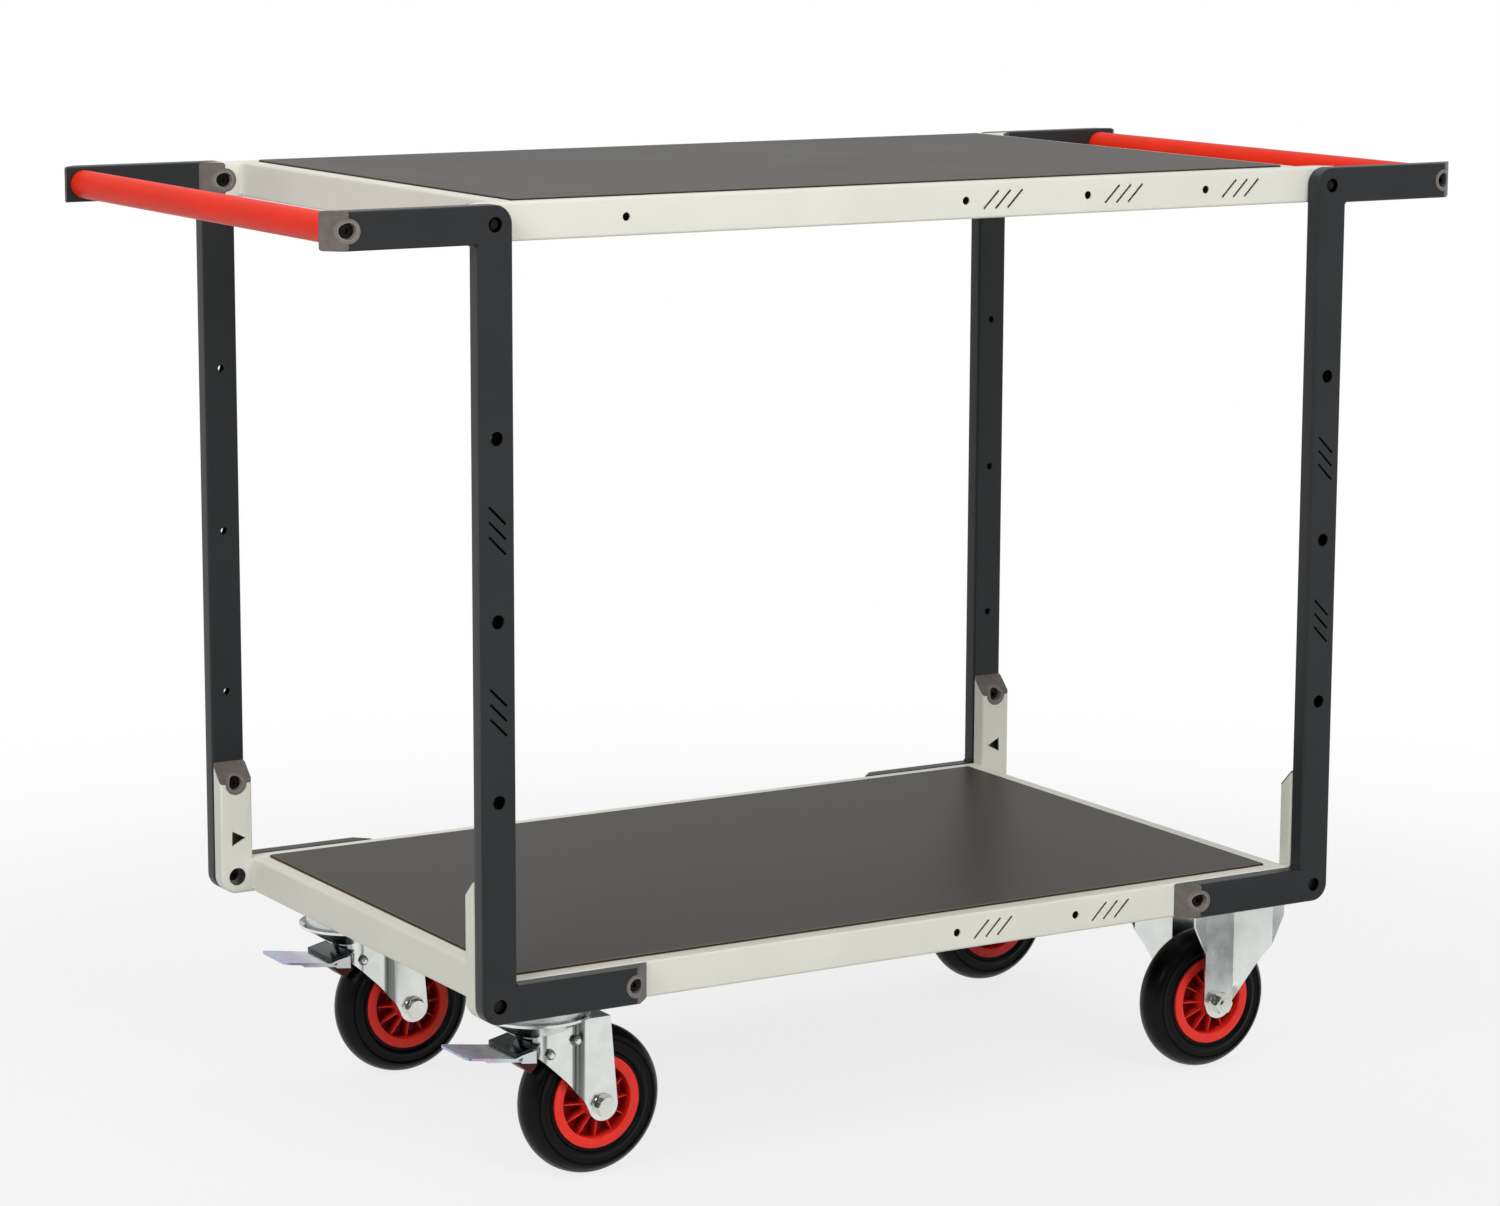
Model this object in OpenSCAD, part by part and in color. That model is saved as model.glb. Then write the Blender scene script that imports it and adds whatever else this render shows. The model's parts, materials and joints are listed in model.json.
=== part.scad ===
// Two-shelf utility cart: welded flat-tube frame, two plywood decks, two push bars,
// two braked swivel castors on the left and two fixed castors on the right.
// Millimetres. X runs along the cart, Y across it, Z up from the floor.
// The origin is on the floor, in the middle of the cart.

/* [Frame] */
// Distance between the post centre lines along the cart
post_span = 1016; // [960:1:1200]
// Width over the four side members
frame_w = 670; // [600:1:800]
// Rise from the lower shelf's centre line to the upper shelf's
shelf_rise = 774; // [700:1:900]
// Reach of an arm from its post's centre line to its end screw
arm_reach = 155; // [120:1:220]
// Reach of a foot from its post's centre line to its end screw
foot_reach = 155; // [120:1:170]
// Width of the flat tube
tube_w = 38; // [34:1:42]
// Thickness of the flat tube
tube_t = 20; // [20:1:24]
// Wall of the flat tube
tube_wall = 2; // [1.5:0.1:2.5]
// Edge radius of the flat tube
tube_r = 3; // [2.6:0.1:5]

/* [Holes and slots] */
// Pitch of the accessory holes in a post
accessory_pitch = 180; // [100:1:200]
// Accessory hole in a post's outer wall
accessory_d = 14; // [10:0.5:18]
// Hole behind it, in the inner wall
accessory_back_d = 8; // [6:0.5:9]
// Access hole at each outer corner of a side member
corner_hole_d = 15; // [12:0.5:18]
// Length of a decorative slot, which lies at 45 degrees
slot_len = 26; // [16:1:28]
// Width of a decorative slot
slot_w = 2.4; // [1.6:0.1:3]
// Pitch of the three slots in a group
slot_pitch = 14.8; // [8:0.1:16]
// Holes along a side rail's outer wall
rail_hole_d = 8.5; // [6:0.5:10]
// Pitch of those holes
rail_hole_pitch = 153; // [100:1:170]
// Distance from such a hole to the slot group beside it
slot_offset = 46; // [40:1:60]

/* [Shelves] */
// Thickness of a deck board
deck_t = 12; // [9:1:15]
// Height of a deck above its rails
deck_proud = 2; // [0:0.5:4]
// Gap between a deck's edge and the rails
deck_gap = 0.5; // [0.2:0.1:2]
// Bevel along a deck's top edge
deck_bevel = 1; // [0.5:0.1:1.5]
// Leg of the angle ledges below a deck
ledge_w = 15; // [12:1:18]
// Thickness of the ledges and of the castor channels
ledge_t = 3; // [2:0.5:4]
// Height of a lower lug's end screw above the lower shelf's centre line
lug_rise = 106; // [80:1:140]
// Access hole low in a lower lug
lug_hole_d = 20; // [18:1:24]
// Height of a lug's three-cornered cut-out above the same line
lug_mark_rise = 43; // [35:1:50]
// Width of a castor channel along the cart
channel_w = 140; // [138:1:160]

/* [Push bars] */
// Diameter of a push bar
bar_d = 30; // [28:1:34]
// Wall of a push bar
bar_wall = 2.5; // [2:0.5:3]

/* [End caps] */
// Diameter of a cap's boss
boss_d = 24.5; // [22:0.5:28]
// Gap round the boss in the tube's notch
notch_gap = 0.5; // [0.3:0.1:1]
// Thickness of a cap's slanted cover
cover_t = 1.5; // [1:0.1:2.5]
// Depth of a cap's spigot inside the tube
spigot_l = 9; // [5:1:15]
// Counterbore for the screw head
counterbore_d = 16.5; // [15:0.5:18]
// Depth of the counterbore
counterbore_l = 12; // [11:0.5:13]

/* [Fasteners] */
// Frame screw thread
screw_d = 8; // [6:1:8]
// Frame screw length under its head
screw_l = 25; // [22:1:27]
// Corner screw length under its head
corner_screw_l = 16; // [12:1:18]
// Screw head diameter
screw_head_d = 13; // [12:0.5:14]
// Screw head height
screw_head_h = 5; // [4:0.5:6]
// Threaded insert body diameter
insert_d = 11; // [10.5:0.5:12]
// Threaded insert length
insert_l = 15; // [12:1:15]
// Castor bolt thread
castor_bolt_d = 8; // [6:1:10]
// Deck screw diameter
deck_screw_d = 4; // [3:0.5:5]

/* [Castors] */
// Wheel diameter
wheel_d = 160; // [140:1:180]
// Height of a castor above its wheel
head_h = 47; // [45:1:65]
// Tyre width
tyre_w = 40; // [36:1:44]
// Diameter of the tyre's seat on the rim
rim_d = 100; // [94:1:106]
// Inner diameter of the rim's barrel
barrel_d = 83; // [76:1:86]
// Number of ribs in a rim
rib_n = 12; // [8:1:16]
// Length of a rim's hub
hub_l = 56; // [50:1:58]
// Distance from a side rail's inner face to the middle of the castors beside it
castor_side = 77; // [70:1:95]
// Distance from a post's centre line back to the swivel axis
swivel_inset = 101; // [100:1:106]
// Distance from a post's centre line back to the fixed axle
fixed_inset = 64; // [63:1:72]
// Trail of a swivel castor
trail = 61; // [50:1:66]
// Distance between the inner faces of a fork's legs
leg_gap = 60; // [58:1:66]
// Thickness of the fork sheet
sheet = 3; // [2.5:0.5:3.5]
// Diameter of the axle bolt
axle_d = 12; // [10:1:12]
// Length of a top plate along the cart
plate_l = 135; // [130:1:136]
// Width of a swivel castor's top plate
plate_w = 110; // [105:1:120]
// Thickness of a swivel castor's top plate
plate_t = 5; // [4:0.5:6]
// Diameter of the swivel head's dish
dish_d = 114; // [104:1:118]
// Diameter of the king pin
kingpin_d = 16; // [12:1:18]
// Half the flat strip down the middle of a fixed leg
strip_half = 19.5; // [18:0.5:22]
// Outward flare of a fixed leg's wings
flare = 36; // [28:1:38]
// Brake pedal travel in degrees
brake_travel = 10; // [6:1:12]
// Width of the brake pedal's tread
tread_w = 62; // [50:1:70]

/* [Hidden] */
$fn = 48;
eps = 0.01;
big = 90;
fit = 0.05;
air = 0.1;
axle_z = wheel_d / 2;
castor_h = wheel_d + head_h;
side_y = frame_w / 2;
rail_y = side_y - tube_t;
inner_y = rail_y - tube_t;
post_x = post_span / 2;
end_x = post_x - tube_w / 2;
cross_x = end_x - tube_t;
lower_z = castor_h + tube_w / 2;
upper_z = lower_z + shelf_rise;
mid_z = lower_z + shelf_rise / 2;
arm_x = post_x + arm_reach;
foot_x = post_x - foot_reach;
lug_z = lower_z + lug_rise;
rail_top = tube_w / 2;
deck_top = rail_top + deck_proud;
deck_low = deck_top - deck_t;
screw_hole = screw_d + 2 * air;
rail_marks = [for (k = [0:2]) foot_x - k * rail_hole_pitch];
castor_y = inner_y - castor_side;
swivel_x = post_x - swivel_inset;
fixed_x = post_x - fixed_inset;
channel_in = cross_x - channel_w;
bolt_dx = plate_l / 2 - 15;
bolt_dy = 40;
fixed_bolt_dx = 16;
fixed_bolt_dy = 52;
leg_in = leg_gap / 2;
leg_out = leg_in + sheet;
plate_z = castor_h - plate_t;
dish_top = plate_z - 22;
dish_low = dish_top - sheet - 18;
dish_floor = 26;
race_r = dish_d / 2 - 7;
crown_z = dish_top - 6;
lobe_r = 17;
leg_front = trail + 13;
leg_back = 9;
nose_step = 1;
groove = [[-20, 0], [-22, -0.8], [-24, -2.6], [-26, -3.9], [-28, -4.1], [-30, -3.2], [-32, -2],
  [-34.5, -1.2], [-37, -nose_step]];
groove_end = groove[len(groove) - 1][0];
nose_r = 14;
nose_y = leg_out - nose_step - nose_r;
sleeve_d = axle_d + 8;
cage_d = sleeve_d + 4;
pivot_gap = 8;
pivot_rise = 45;
pivot_x = trail - (wheel_d / 2 + pivot_gap) * cos(pivot_rise);
pivot_z = axle_z + (wheel_d / 2 + pivot_gap) * sin(pivot_rise);
pivot_d = 6;
hub_r = 6;
lever_half = nose_y - 1.5;
shoe_gap = 0.6;
shoe_t = 17;
shoe_from = 28;
shoe_to = 38;
axle_hex = 23;
axle_head = 8;
axle_nut = 10;
washer_d = 25;
washer_t = 2;

// Mirrors that can be switched off
module flip_x(on) {
  if (on) mirror([1, 0, 0]) children();
  else children();
}
module flip_y(on) {
  if (on) mirror([0, 1, 0]) children();
  else children();
}
module corners() {
  for (sx = [-1, 1], sy = [-1, 1]) flip_x(sx < 0) flip_y(sy > 0) children();
}

// Rounded rectangle about the origin
module rounded(a, b, r) {
  square([a - 2 * r, b], center = true);
  square([a, b - 2 * r], center = true);
  for (i = [-1, 1], j = [-1, 1]) translate([i * (a / 2 - r), j * (b / 2 - r)]) circle(r);
}

// Flat tube sections: skin = 0 is the outside, skin = tube_wall the cavity
module tube_section(skin) rounded(tube_w - 2 * skin, tube_t - 2 * skin, tube_r - skin);
module tube_up(l, skin = 0) linear_extrude(l) tube_section(skin);
module tube_along(l, skin = 0) rotate([90, 0, 90]) linear_extrude(l) rotate(90) tube_section(skin);

// Round corner of a side member, as wide as the tube and with its edge radius. Inside, its
// cavity is a plain round pocket behind the corner hole.
module elbow(skin) rotate([90, 0, 0]) {
  if (skin == 0) rotate_extrude() intersection() {
    rounded(tube_w, tube_t, tube_r);
    translate([0, -tube_t]) square([tube_w, 2 * tube_t]);
  }
  else cylinder(d = tube_w - 6 * skin, h = tube_t - 2 * skin, center = true);
}

// What is cut from a tube end. The end screw's axis is at the origin and runs along Y;
// the tube comes from -X, its screw face is at Y = 0 and its far face at Y = tube_t.
module end_cut() {
  rotate([0, 0, -45]) translate([0, -big, -big / 2]) cube([big, 2 * big, big]);
  translate([0, -1, 0]) rotate([-90, 0, 0])
    cylinder(d = boss_d + 2 * notch_gap, h = 1 + tube_wall + eps);
  translate([0, tube_t - tube_wall - 1, 0]) rotate([-90, 0, 0])
    cylinder(d = screw_hole, h = tube_wall + 2);
}

// End cap in the same frame: slanted cover, spigot, and a boss with its counterbore
module end_cap() difference() {
  union() {
    intersection() {
      translate([-2 * tube_t, tube_t / 2, 0]) tube_along(5 * tube_t);
      rotate([0, 0, -45]) translate([0, -big, -big / 2]) cube([cover_t, 2 * big, big]);
    }
    intersection() {
      union() {
        rotate([-90, 0, 0]) cylinder(d = boss_d, h = tube_t - tube_wall);
        translate([-2 * tube_t, tube_t / 2, 0]) intersection() {
          tube_along(5 * tube_t, tube_wall + air);
          rotate([0, 0, -45]) translate([tube_t * sqrt(2) * 3 / 4 - spigot_l, -big, -big / 2])
            cube([big, 2 * big, big]);
        }
      }
      rotate([0, 0, -45]) translate([-big, -big, -big / 2]) cube([big, 2 * big, big]);
    }
  }
  translate([0, -1, 0]) rotate([-90, 0, 0]) cylinder(d = counterbore_d, h = counterbore_l + 1);
  rotate([-90, 0, 0]) cylinder(d = screw_hole, h = tube_t);
}

// Socket screw along +Y with its head's seat at Y = 0
module socket_screw(l) difference() {
  rotate([-90, 0, 0]) union() {
    translate([0, 0, -screw_head_h]) cylinder(d = screw_head_d, h = screw_head_h);
    cylinder(d = screw_d, h = l);
  }
  translate([0, -screw_head_h - 1, 0]) rotate([-90, 0, 0]) cylinder(d = 6, h = screw_head_h - 1, $fn = 6);
}

// Rivet insert behind a tube wall whose face is at Y = 0
module insert() rotate([-90, 0, 0]) difference() {
  union() {
    cylinder(d = insert_d, h = insert_l);
    translate([0, 0, tube_wall]) cylinder(d = insert_d + 3, h = 3);
  }
  translate([0, 0, -1]) cylinder(d = screw_d + 2 * fit, h = insert_l + 2);
}
module insert_hole() translate([0, -1, 0]) rotate([-90, 0, 0])
  cylinder(d = insert_d + 2 * fit, h = tube_wall + 2);

// Places of the sixteen tube ends, each in the frame of end_cut
module at_arm_ends() corners() translate([arm_x, -side_y, upper_z]) children();
module at_foot_ends() corners() translate([foot_x, -side_y, lower_z]) mirror([1, 0, 0]) children();
module at_rail_ends() corners() translate([post_x, -inner_y, upper_z]) mirror([0, 1, 0]) children();
module at_lug_ends() corners() translate([post_x, -inner_y, lug_z]) mirror([0, 1, 0])
  rotate([0, -90, 0]) children();

// Three slanted slots through a wall at Y = 0; lean is 1 for a backslash seen from -Y
module slot_group(lean, upright) for (k = [-1:1])
  translate([upright ? 0 : k * slot_pitch, 0, upright ? k * slot_pitch : 0])
    rotate([0, lean * 45, 0]) cube([slot_len, 2 * tube_wall + 1, slot_w], center = true);

// One side member: post, arm and foot of one flat tube with welded mitres, drawn for the
// front right corner. lean turns its slots so that every outside face reads alike.
module side_member(skin) translate([0, -side_y + tube_t / 2, 0]) {
  translate([post_x, 0, lower_z]) tube_up(shelf_rise, skin);
  translate([post_x, 0, upper_z]) tube_along(arm_reach + tube_t + cover_t, skin);
  translate([foot_x - tube_t - cover_t, 0, lower_z]) tube_along(foot_reach + tube_t + cover_t, skin);
  for (z = [lower_z, upper_z]) translate([post_x, 0, z]) elbow(skin);
}
module side_frame(lean) color("#3b3d3c") difference() {
  side_member(0);
  side_member(tube_wall);
  translate([arm_x, -side_y, upper_z]) end_cut();
  translate([foot_x, -side_y, lower_z]) mirror([1, 0, 0]) end_cut();
  translate([post_x, -side_y, 0]) {
    for (z = [lower_z, upper_z]) translate([0, -1, z]) rotate([-90, 0, 0])
      cylinder(d = corner_hole_d, h = tube_wall + 1 + eps);
    for (k = [-1:1]) translate([0, -1, mid_z + k * accessory_pitch]) rotate([-90, 0, 0]) {
      cylinder(d = accessory_d, h = tube_wall + 1 + eps);
      cylinder(d = accessory_back_d, h = tube_t + 2);
    }
    for (k = [-0.5, 0.5]) translate([0, 0, mid_z + k * accessory_pitch]) slot_group(lean, true);
  }
  for (z = [lower_z, lug_z, upper_z]) translate([post_x, -rail_y, z]) mirror([0, 1, 0]) insert_hole();
}

// Push bar between the arms, with a threaded plug in each end
module handle_bar(sx) color("#ec4429") translate([sx * arm_x, -rail_y, upper_z]) rotate([-90, 0, 0])
  linear_extrude(2 * rail_y) difference() {
    circle(d = bar_d, $fn = 64);
    circle(d = bar_d - 2 * bar_wall, $fn = 64);
  }
module handle_bar_plugs() color("#9a9a98") at_arm_ends() translate([0, tube_t, 0])
  rotate([-90, 0, 0]) difference() {
    cylinder(d = bar_d - 2 * bar_wall - 2 * fit, h = tube_t);
    translate([0, 0, -1]) cylinder(d = screw_d + 2 * fit, h = tube_t + 2);
  }

module frame_end_caps() color("#69625e") {
  at_arm_ends() end_cap();
  at_foot_ends() end_cap();
}
module shelf_end_caps() color("#69625e") {
  at_rail_ends() end_cap();
  at_lug_ends() end_cap();
}
module frame_screws() color("#b9bbba") {
  at_arm_ends() translate([0, counterbore_l, 0]) socket_screw(screw_l);
  at_foot_ends() translate([0, counterbore_l, 0]) socket_screw(screw_l);
  at_rail_ends() translate([0, counterbore_l, 0]) socket_screw(screw_l);
  at_lug_ends() translate([0, counterbore_l, 0]) socket_screw(screw_l);
}
module corner_screws() color("#b9bbba") corners() translate([post_x, -rail_y + tube_wall, lower_z])
  mirror([0, 1, 0]) socket_screw(corner_screw_l);
module threaded_inserts() color("#c9c6a8") {
  at_foot_ends() translate([0, tube_t, 0]) insert();
  at_rail_ends() translate([0, tube_t, 0]) insert();
  at_lug_ends() translate([0, tube_t, 0]) insert();
  corners() translate([post_x, -rail_y, lower_z]) mirror([0, 1, 0]) insert();
}

// Holes and slots in a side rail's outer wall, for the front rails
module rail_marks_cut(z) translate([0, -rail_y, z]) {
  for (x = concat(rail_marks, [-foot_x])) translate([x, -1, 0]) rotate([-90, 0, 0])
    cylinder(d = rail_hole_d, h = tube_wall + 1 + eps);
  for (x = rail_marks) translate([x + slot_offset, 0, 0]) slot_group(-1, false);
}

// Upper side rail: its ends run past the end rails as lugs
module upper_side(skin) translate([-post_x - tube_t - cover_t, -rail_y + tube_t / 2, upper_z])
  tube_along(2 * (post_x + tube_t + cover_t), skin);
module upper_side_rail() color("#dad9cd") difference() {
  upper_side(0);
  upper_side(tube_wall);
  for (sx = [-1, 1]) flip_x(sx < 0) translate([post_x, -inner_y, upper_z]) mirror([0, 1, 0]) end_cut();
  rail_marks_cut(upper_z);
}

// Lower side rail with an upright lug welded to each end
module lower_side(skin) translate([0, -rail_y + tube_t / 2, 0]) {
  translate([-post_x, 0, lower_z]) tube_along(2 * post_x, skin);
  for (sx = [-1, 1]) translate([sx * post_x, 0, lower_z]) {
    tube_up(lug_rise + tube_t + cover_t, skin);
    elbow(skin);
  }
}
module lug_mark() rotate([90, 0, 0]) linear_extrude(3 * tube_wall, center = true)
  polygon([[5.5, 9], [6, -8], [-10.5, 0.5]]);
module lower_side_rail() color("#dad9cd") difference() {
  lower_side(0);
  lower_side(tube_wall);
  for (sx = [-1, 1]) flip_x(sx < 0) translate([post_x, 0, 0]) {
    translate([0, -inner_y, lug_z]) mirror([0, 1, 0]) rotate([0, -90, 0]) end_cut();
    translate([0, -inner_y, lower_z + lug_mark_rise]) lug_mark();
    translate([0, -inner_y + 1, lower_z]) rotate([90, 0, 0])
      cylinder(d = lug_hole_d, h = tube_wall + 1 + eps);
    translate([0, -inner_y, lower_z]) rotate([90, 0, 0]) cylinder(d = screw_hole, h = tube_t + 1);
  }
  for (sx = [-1, 1]) translate([sx * foot_x, -rail_y, lower_z]) insert_hole();
  rail_marks_cut(lower_z);
}
module end_rail(sx, z) color("#dad9cd") translate([sx * (end_x - tube_t / 2), -inner_y, z])
  rotate([-90, 90, 0]) linear_extrude(2 * inner_y) difference() {
    tube_section(0);
    tube_section(tube_wall);
  }

// Deck board between the rails, with bevelled top edges and screw pilots below
module deck(z) color("#504e4c") difference() {
  hx = cross_x - deck_gap;
  hy = inner_y - deck_gap;
  translate([-hx, -hy, z + deck_low]) cube([2 * hx, 2 * hy, deck_t]);
  for (s = [-1, 1]) {
    translate([s * hx, 0, z + deck_top]) rotate([0, 45, 0])
      cube([deck_bevel * sqrt(2), 3 * hy, deck_bevel * sqrt(2)], center = true);
    translate([0, s * hy, z + deck_top]) rotate([45, 0, 0])
      cube([3 * hx, deck_bevel * sqrt(2), deck_bevel * sqrt(2)], center = true);
  }
  at_deck_screws() translate([0, 0, z + deck_low - 1]) cylinder(d = deck_screw_d, h = deck_t - 2);
}
module at_deck_screws() for (x = [-1, 0, 1], sy = [-1, 1])
  translate([x * cross_x / 2, sy * (inner_y - ledge_w / 2), 0]) children();
module deck_screws() color("#c4c6c6") for (z = [lower_z, upper_z]) at_deck_screws()
  translate([0, 0, z + deck_low - ledge_t]) {
    translate([0, 0, -2]) cylinder(d = 2 * deck_screw_d, h = 2);
    cylinder(d = deck_screw_d - 2 * fit, h = ledge_t + deck_t - 4);
  }

// Angle ledges along the side rails of both shelves
module deck_ledges() color("#dad9cd") for (z = [lower_z, upper_z], sy = [-1, 1])
  flip_y(sy > 0) difference() {
    lx = z == upper_z ? cross_x : channel_in;
    translate([-lx, -inner_y, z + deck_low - ledge_w]) cube([2 * lx, ledge_w, ledge_w]);
    translate([-lx - 1, -inner_y + ledge_t, z + deck_low - ledge_w - 1])
      cube([2 * lx + 2, ledge_w, ledge_w + 1 - ledge_t]);
    for (x = [-1, 0, 1]) translate([x * cross_x / 2, -inner_y + ledge_w / 2, z + deck_low - ledge_w - 1])
      cylinder(d = deck_screw_d, h = ledge_w + 2);
  }

// Folded channels between the lower side rails that carry the castors and the deck's ends
module castor_pattern(fixed) for (i = [-1, 1], j = [-1, 1])
  translate([i * (fixed ? fixed_bolt_dx : bolt_dx), j * (fixed ? fixed_bolt_dy : bolt_dy), 0]) children();
module castor_holes(fixed, l) for (sy = [-1, 1])
  translate([fixed ? fixed_x : -swivel_x, sy * castor_y, castor_h - l]) castor_pattern(fixed) children();
module castor_channels() color("#dad9cd") for (sx = [-1, 1]) difference() {
  flip_x(sx < 0) translate([channel_in, -inner_y, castor_h]) {
    cube([channel_w, 2 * inner_y, ledge_t]);
    cube([ledge_t, 2 * inner_y, lower_z + deck_low - castor_h]);
  }
  castor_holes(sx > 0, 1) cylinder(d = castor_bolt_d + 2 * air, h = ledge_t + 2);
  if (sx < 0) for (sy = [-1, 1]) translate([-swivel_x, sy * castor_y, castor_h - 1])
    cylinder(d = kingpin_d + 12, h = ledge_t + 2);
}
module hex_bolt(d, l) {
  cylinder(d = d, h = l);
  translate([0, 0, -0.65 * d]) cylinder(d = 1.9 * d, h = 0.65 * d, $fn = 6);
}
module castor_bolts() color("#c4c6c6") for (fixed = [false, true]) {
  plate = fixed ? sheet : plate_t;
  castor_holes(fixed, plate) {
    hex_bolt(castor_bolt_d, plate + ledge_t + 9);
    translate([0, 0, plate + ledge_t]) difference() {
      cylinder(d = 1.9 * castor_bolt_d, h = 0.8 * castor_bolt_d, $fn = 6);
      translate([0, 0, -1]) cylinder(d = castor_bolt_d + 2 * fit, h = castor_bolt_d);
    }
  }
}

// Swivel castor. Its frame has the swivel axis at the origin and the wheel towards +X.
module at_swivel(sy) translate([-swivel_x, sy * castor_y, 0]) children();
module at_axle() translate([trail, 0, axle_z]) children();

// Top plate with the upper race hanging in the dish
module top_plate() color("#c9cdcc") difference() {
  union() {
    translate([0, 0, plate_z]) linear_extrude(plate_t) rounded(plate_l, plate_w, 8);
    rotate_extrude() polygon([[0, dish_low + sheet + 0.3], [dish_floor - 1, dish_low + sheet + 0.3],
      [race_r, dish_level(race_r) + 0.5], [race_r - 3, plate_z + eps], [0, plate_z + eps]]);
  }
  translate([0, 0, dish_low]) cylinder(d = kingpin_d + 2 * fit, h = big);
  translate([0, 0, plate_z - 1]) castor_pattern(false)
    cylinder(d = castor_bolt_d + 2 * air, h = plate_t + 2);
}
dish_slope = (dish_top - sheet - dish_low) / (dish_d / 2 - dish_floor);
function dish_level(r) = dish_low + sheet + (r - dish_floor) * dish_slope;

module kingpin() color("#a9adad") {
  translate([0, 0, dish_low - 0.3 - 5]) cylinder(d = kingpin_d + 12, h = 5);
  translate([0, 0, dish_low - 0.5]) cylinder(d = kingpin_d, h = castor_h - dish_low + 0.5);
  translate([0, 0, castor_h]) cylinder(d = kingpin_d + 8, h = ledge_t);
}

// Pressed fork: two stepped legs whose front edges roll inward, a crown and a dished head
module leg_outline() {
  circle(r = lobe_r);
  polygon([[lobe_r, 0], [leg_back, crown_z - axle_z], [-leg_front, crown_z - axle_z],
    [-leg_front, 60], [-42, 30], [-22.5, 8], [-13, -11]]);
}
module leg_section() {
  translate([groove[0][0], leg_in]) square([lobe_r + 1 - groove[0][0], sheet]);
  polygon(concat([for (p = groove) [p[0], leg_out + p[1]]],
    [for (k = [1:len(groove)]) groove[len(groove) - k] + [0, leg_in]]));
  translate([nose_r - leg_front, leg_in - nose_step])
    square([leg_front - nose_r + groove_end, sheet]);
  translate([nose_r - leg_front, nose_y]) intersection() {
    difference() {
      circle(r = nose_r);
      circle(r = nose_r - sheet);
    }
    translate([-nose_r, 0]) square(nose_r);
  }
}
module crown_plan() {
  for (s = [-1, 1]) flip_y(s < 0) {
    polygon(concat([[leg_back, 0], [leg_back, leg_out]], [for (p = groove) [p[0], leg_out + p[1]]],
      [[nose_r - leg_front, leg_out - nose_step], [nose_r - leg_front, 0]]));
    translate([nose_r - leg_front, nose_y]) circle(r = nose_r);
  }
  translate([-leg_front, -nose_y]) square([nose_r, 2 * nose_y]);
}
module dish_profile(over) polygon([[0, dish_low + over], [dish_floor, dish_low + over],
  [dish_d / 2, dish_top - sheet + over], [dish_d / 2, dish_top + over * 9], [0, dish_top + over * 9]]);
module swivel_fork() color("#d6dad8") difference() {
  union() {
    difference() {
      at_axle() {
        for (s = [-1, 1]) flip_y(s < 0) intersection() {
          translate([0, 0, -lobe_r]) linear_extrude(lobe_r + crown_z - axle_z) leg_section();
          rotate([90, 0, 0]) linear_extrude(2 * big, center = true) leg_outline();
        }
        translate([0, 0, crown_z - axle_z - sheet]) linear_extrude(sheet) crown_plan();
      }
      rotate_extrude() dish_profile(sheet);
    }
    rotate_extrude() difference() {
      dish_profile(0);
      dish_profile(sheet);
      translate([0, dish_top]) square([dish_d, big]);
    }
  }
  translate([0, 0, dish_low - 1]) cylinder(d = kingpin_d + 2 * fit, h = big);
  at_axle() rotate([90, 0, 0]) cylinder(d = axle_d + 2 * fit, h = 2 * big, center = true);
  for (p = brake_points) translate([p[0], 0, p[1]]) rotate([90, 0, 0])
    cylinder(d = pivot_d + 2 * fit, h = 2 * big, center = true);
}
brake_points = [[pivot_x, pivot_z], [pivot_x + 30.5, pivot_z + 11]];

// Axle bolt with its nut and washers; the head is on the -Y side
module axle_bolt(outer) {
  translate([0, -outer, 0]) rotate([-90, 0, 0]) {
    cylinder(d = axle_d, h = 2 * outer + axle_nut + 2 * washer_t);
    translate([0, 0, -washer_t]) cylinder(d = washer_d, h = washer_t);
    translate([0, 0, -washer_t - axle_head]) cylinder(d = axle_hex, h = axle_head, $fn = 6);
  }
  translate([0, outer, 0]) rotate([-90, 0, 0]) difference() {
    union() {
      cylinder(d = washer_d, h = washer_t);
      translate([0, 0, washer_t]) cylinder(d = axle_hex, h = axle_nut, $fn = 6);
    }
    translate([0, 0, -1]) cylinder(d = axle_d + 2 * fit, h = washer_t + axle_nut + 2);
  }
}
module axle_sleeve() color("#a9adad") rotate([90, 0, 0]) difference() {
  cylinder(d = sleeve_d, h = leg_gap, center = true);
  cylinder(d = axle_d + 2 * fit, h = leg_gap + 2, center = true);
}

// Brake pivot bolt across the fork and the two short bolts above the tyre
small_hex = 11.5;
small_head = 4;
module brake_bolts() color("#c4c6c6") {
  reach = leg_out - nose_step;
  translate([pivot_x, -reach, pivot_z]) rotate([-90, 0, 0]) {
    cylinder(d = pivot_d, h = 2 * reach + small_head + 3);
    translate([0, 0, -small_head]) cylinder(d = small_hex, h = small_head, $fn = 6);
    translate([0, 0, 2 * reach]) cylinder(d = small_hex, h = small_head, $fn = 6);
  }
  for (s = [-1, 1]) flip_y(s > 0) translate([brake_points[1][0], -reach, brake_points[1][1]])
    rotate([-90, 0, 0]) {
      cylinder(d = pivot_d, h = 2 * sheet + 2);
      translate([0, 0, -small_head]) cylinder(d = small_hex, h = small_head, $fn = 6);
    }
}

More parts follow.
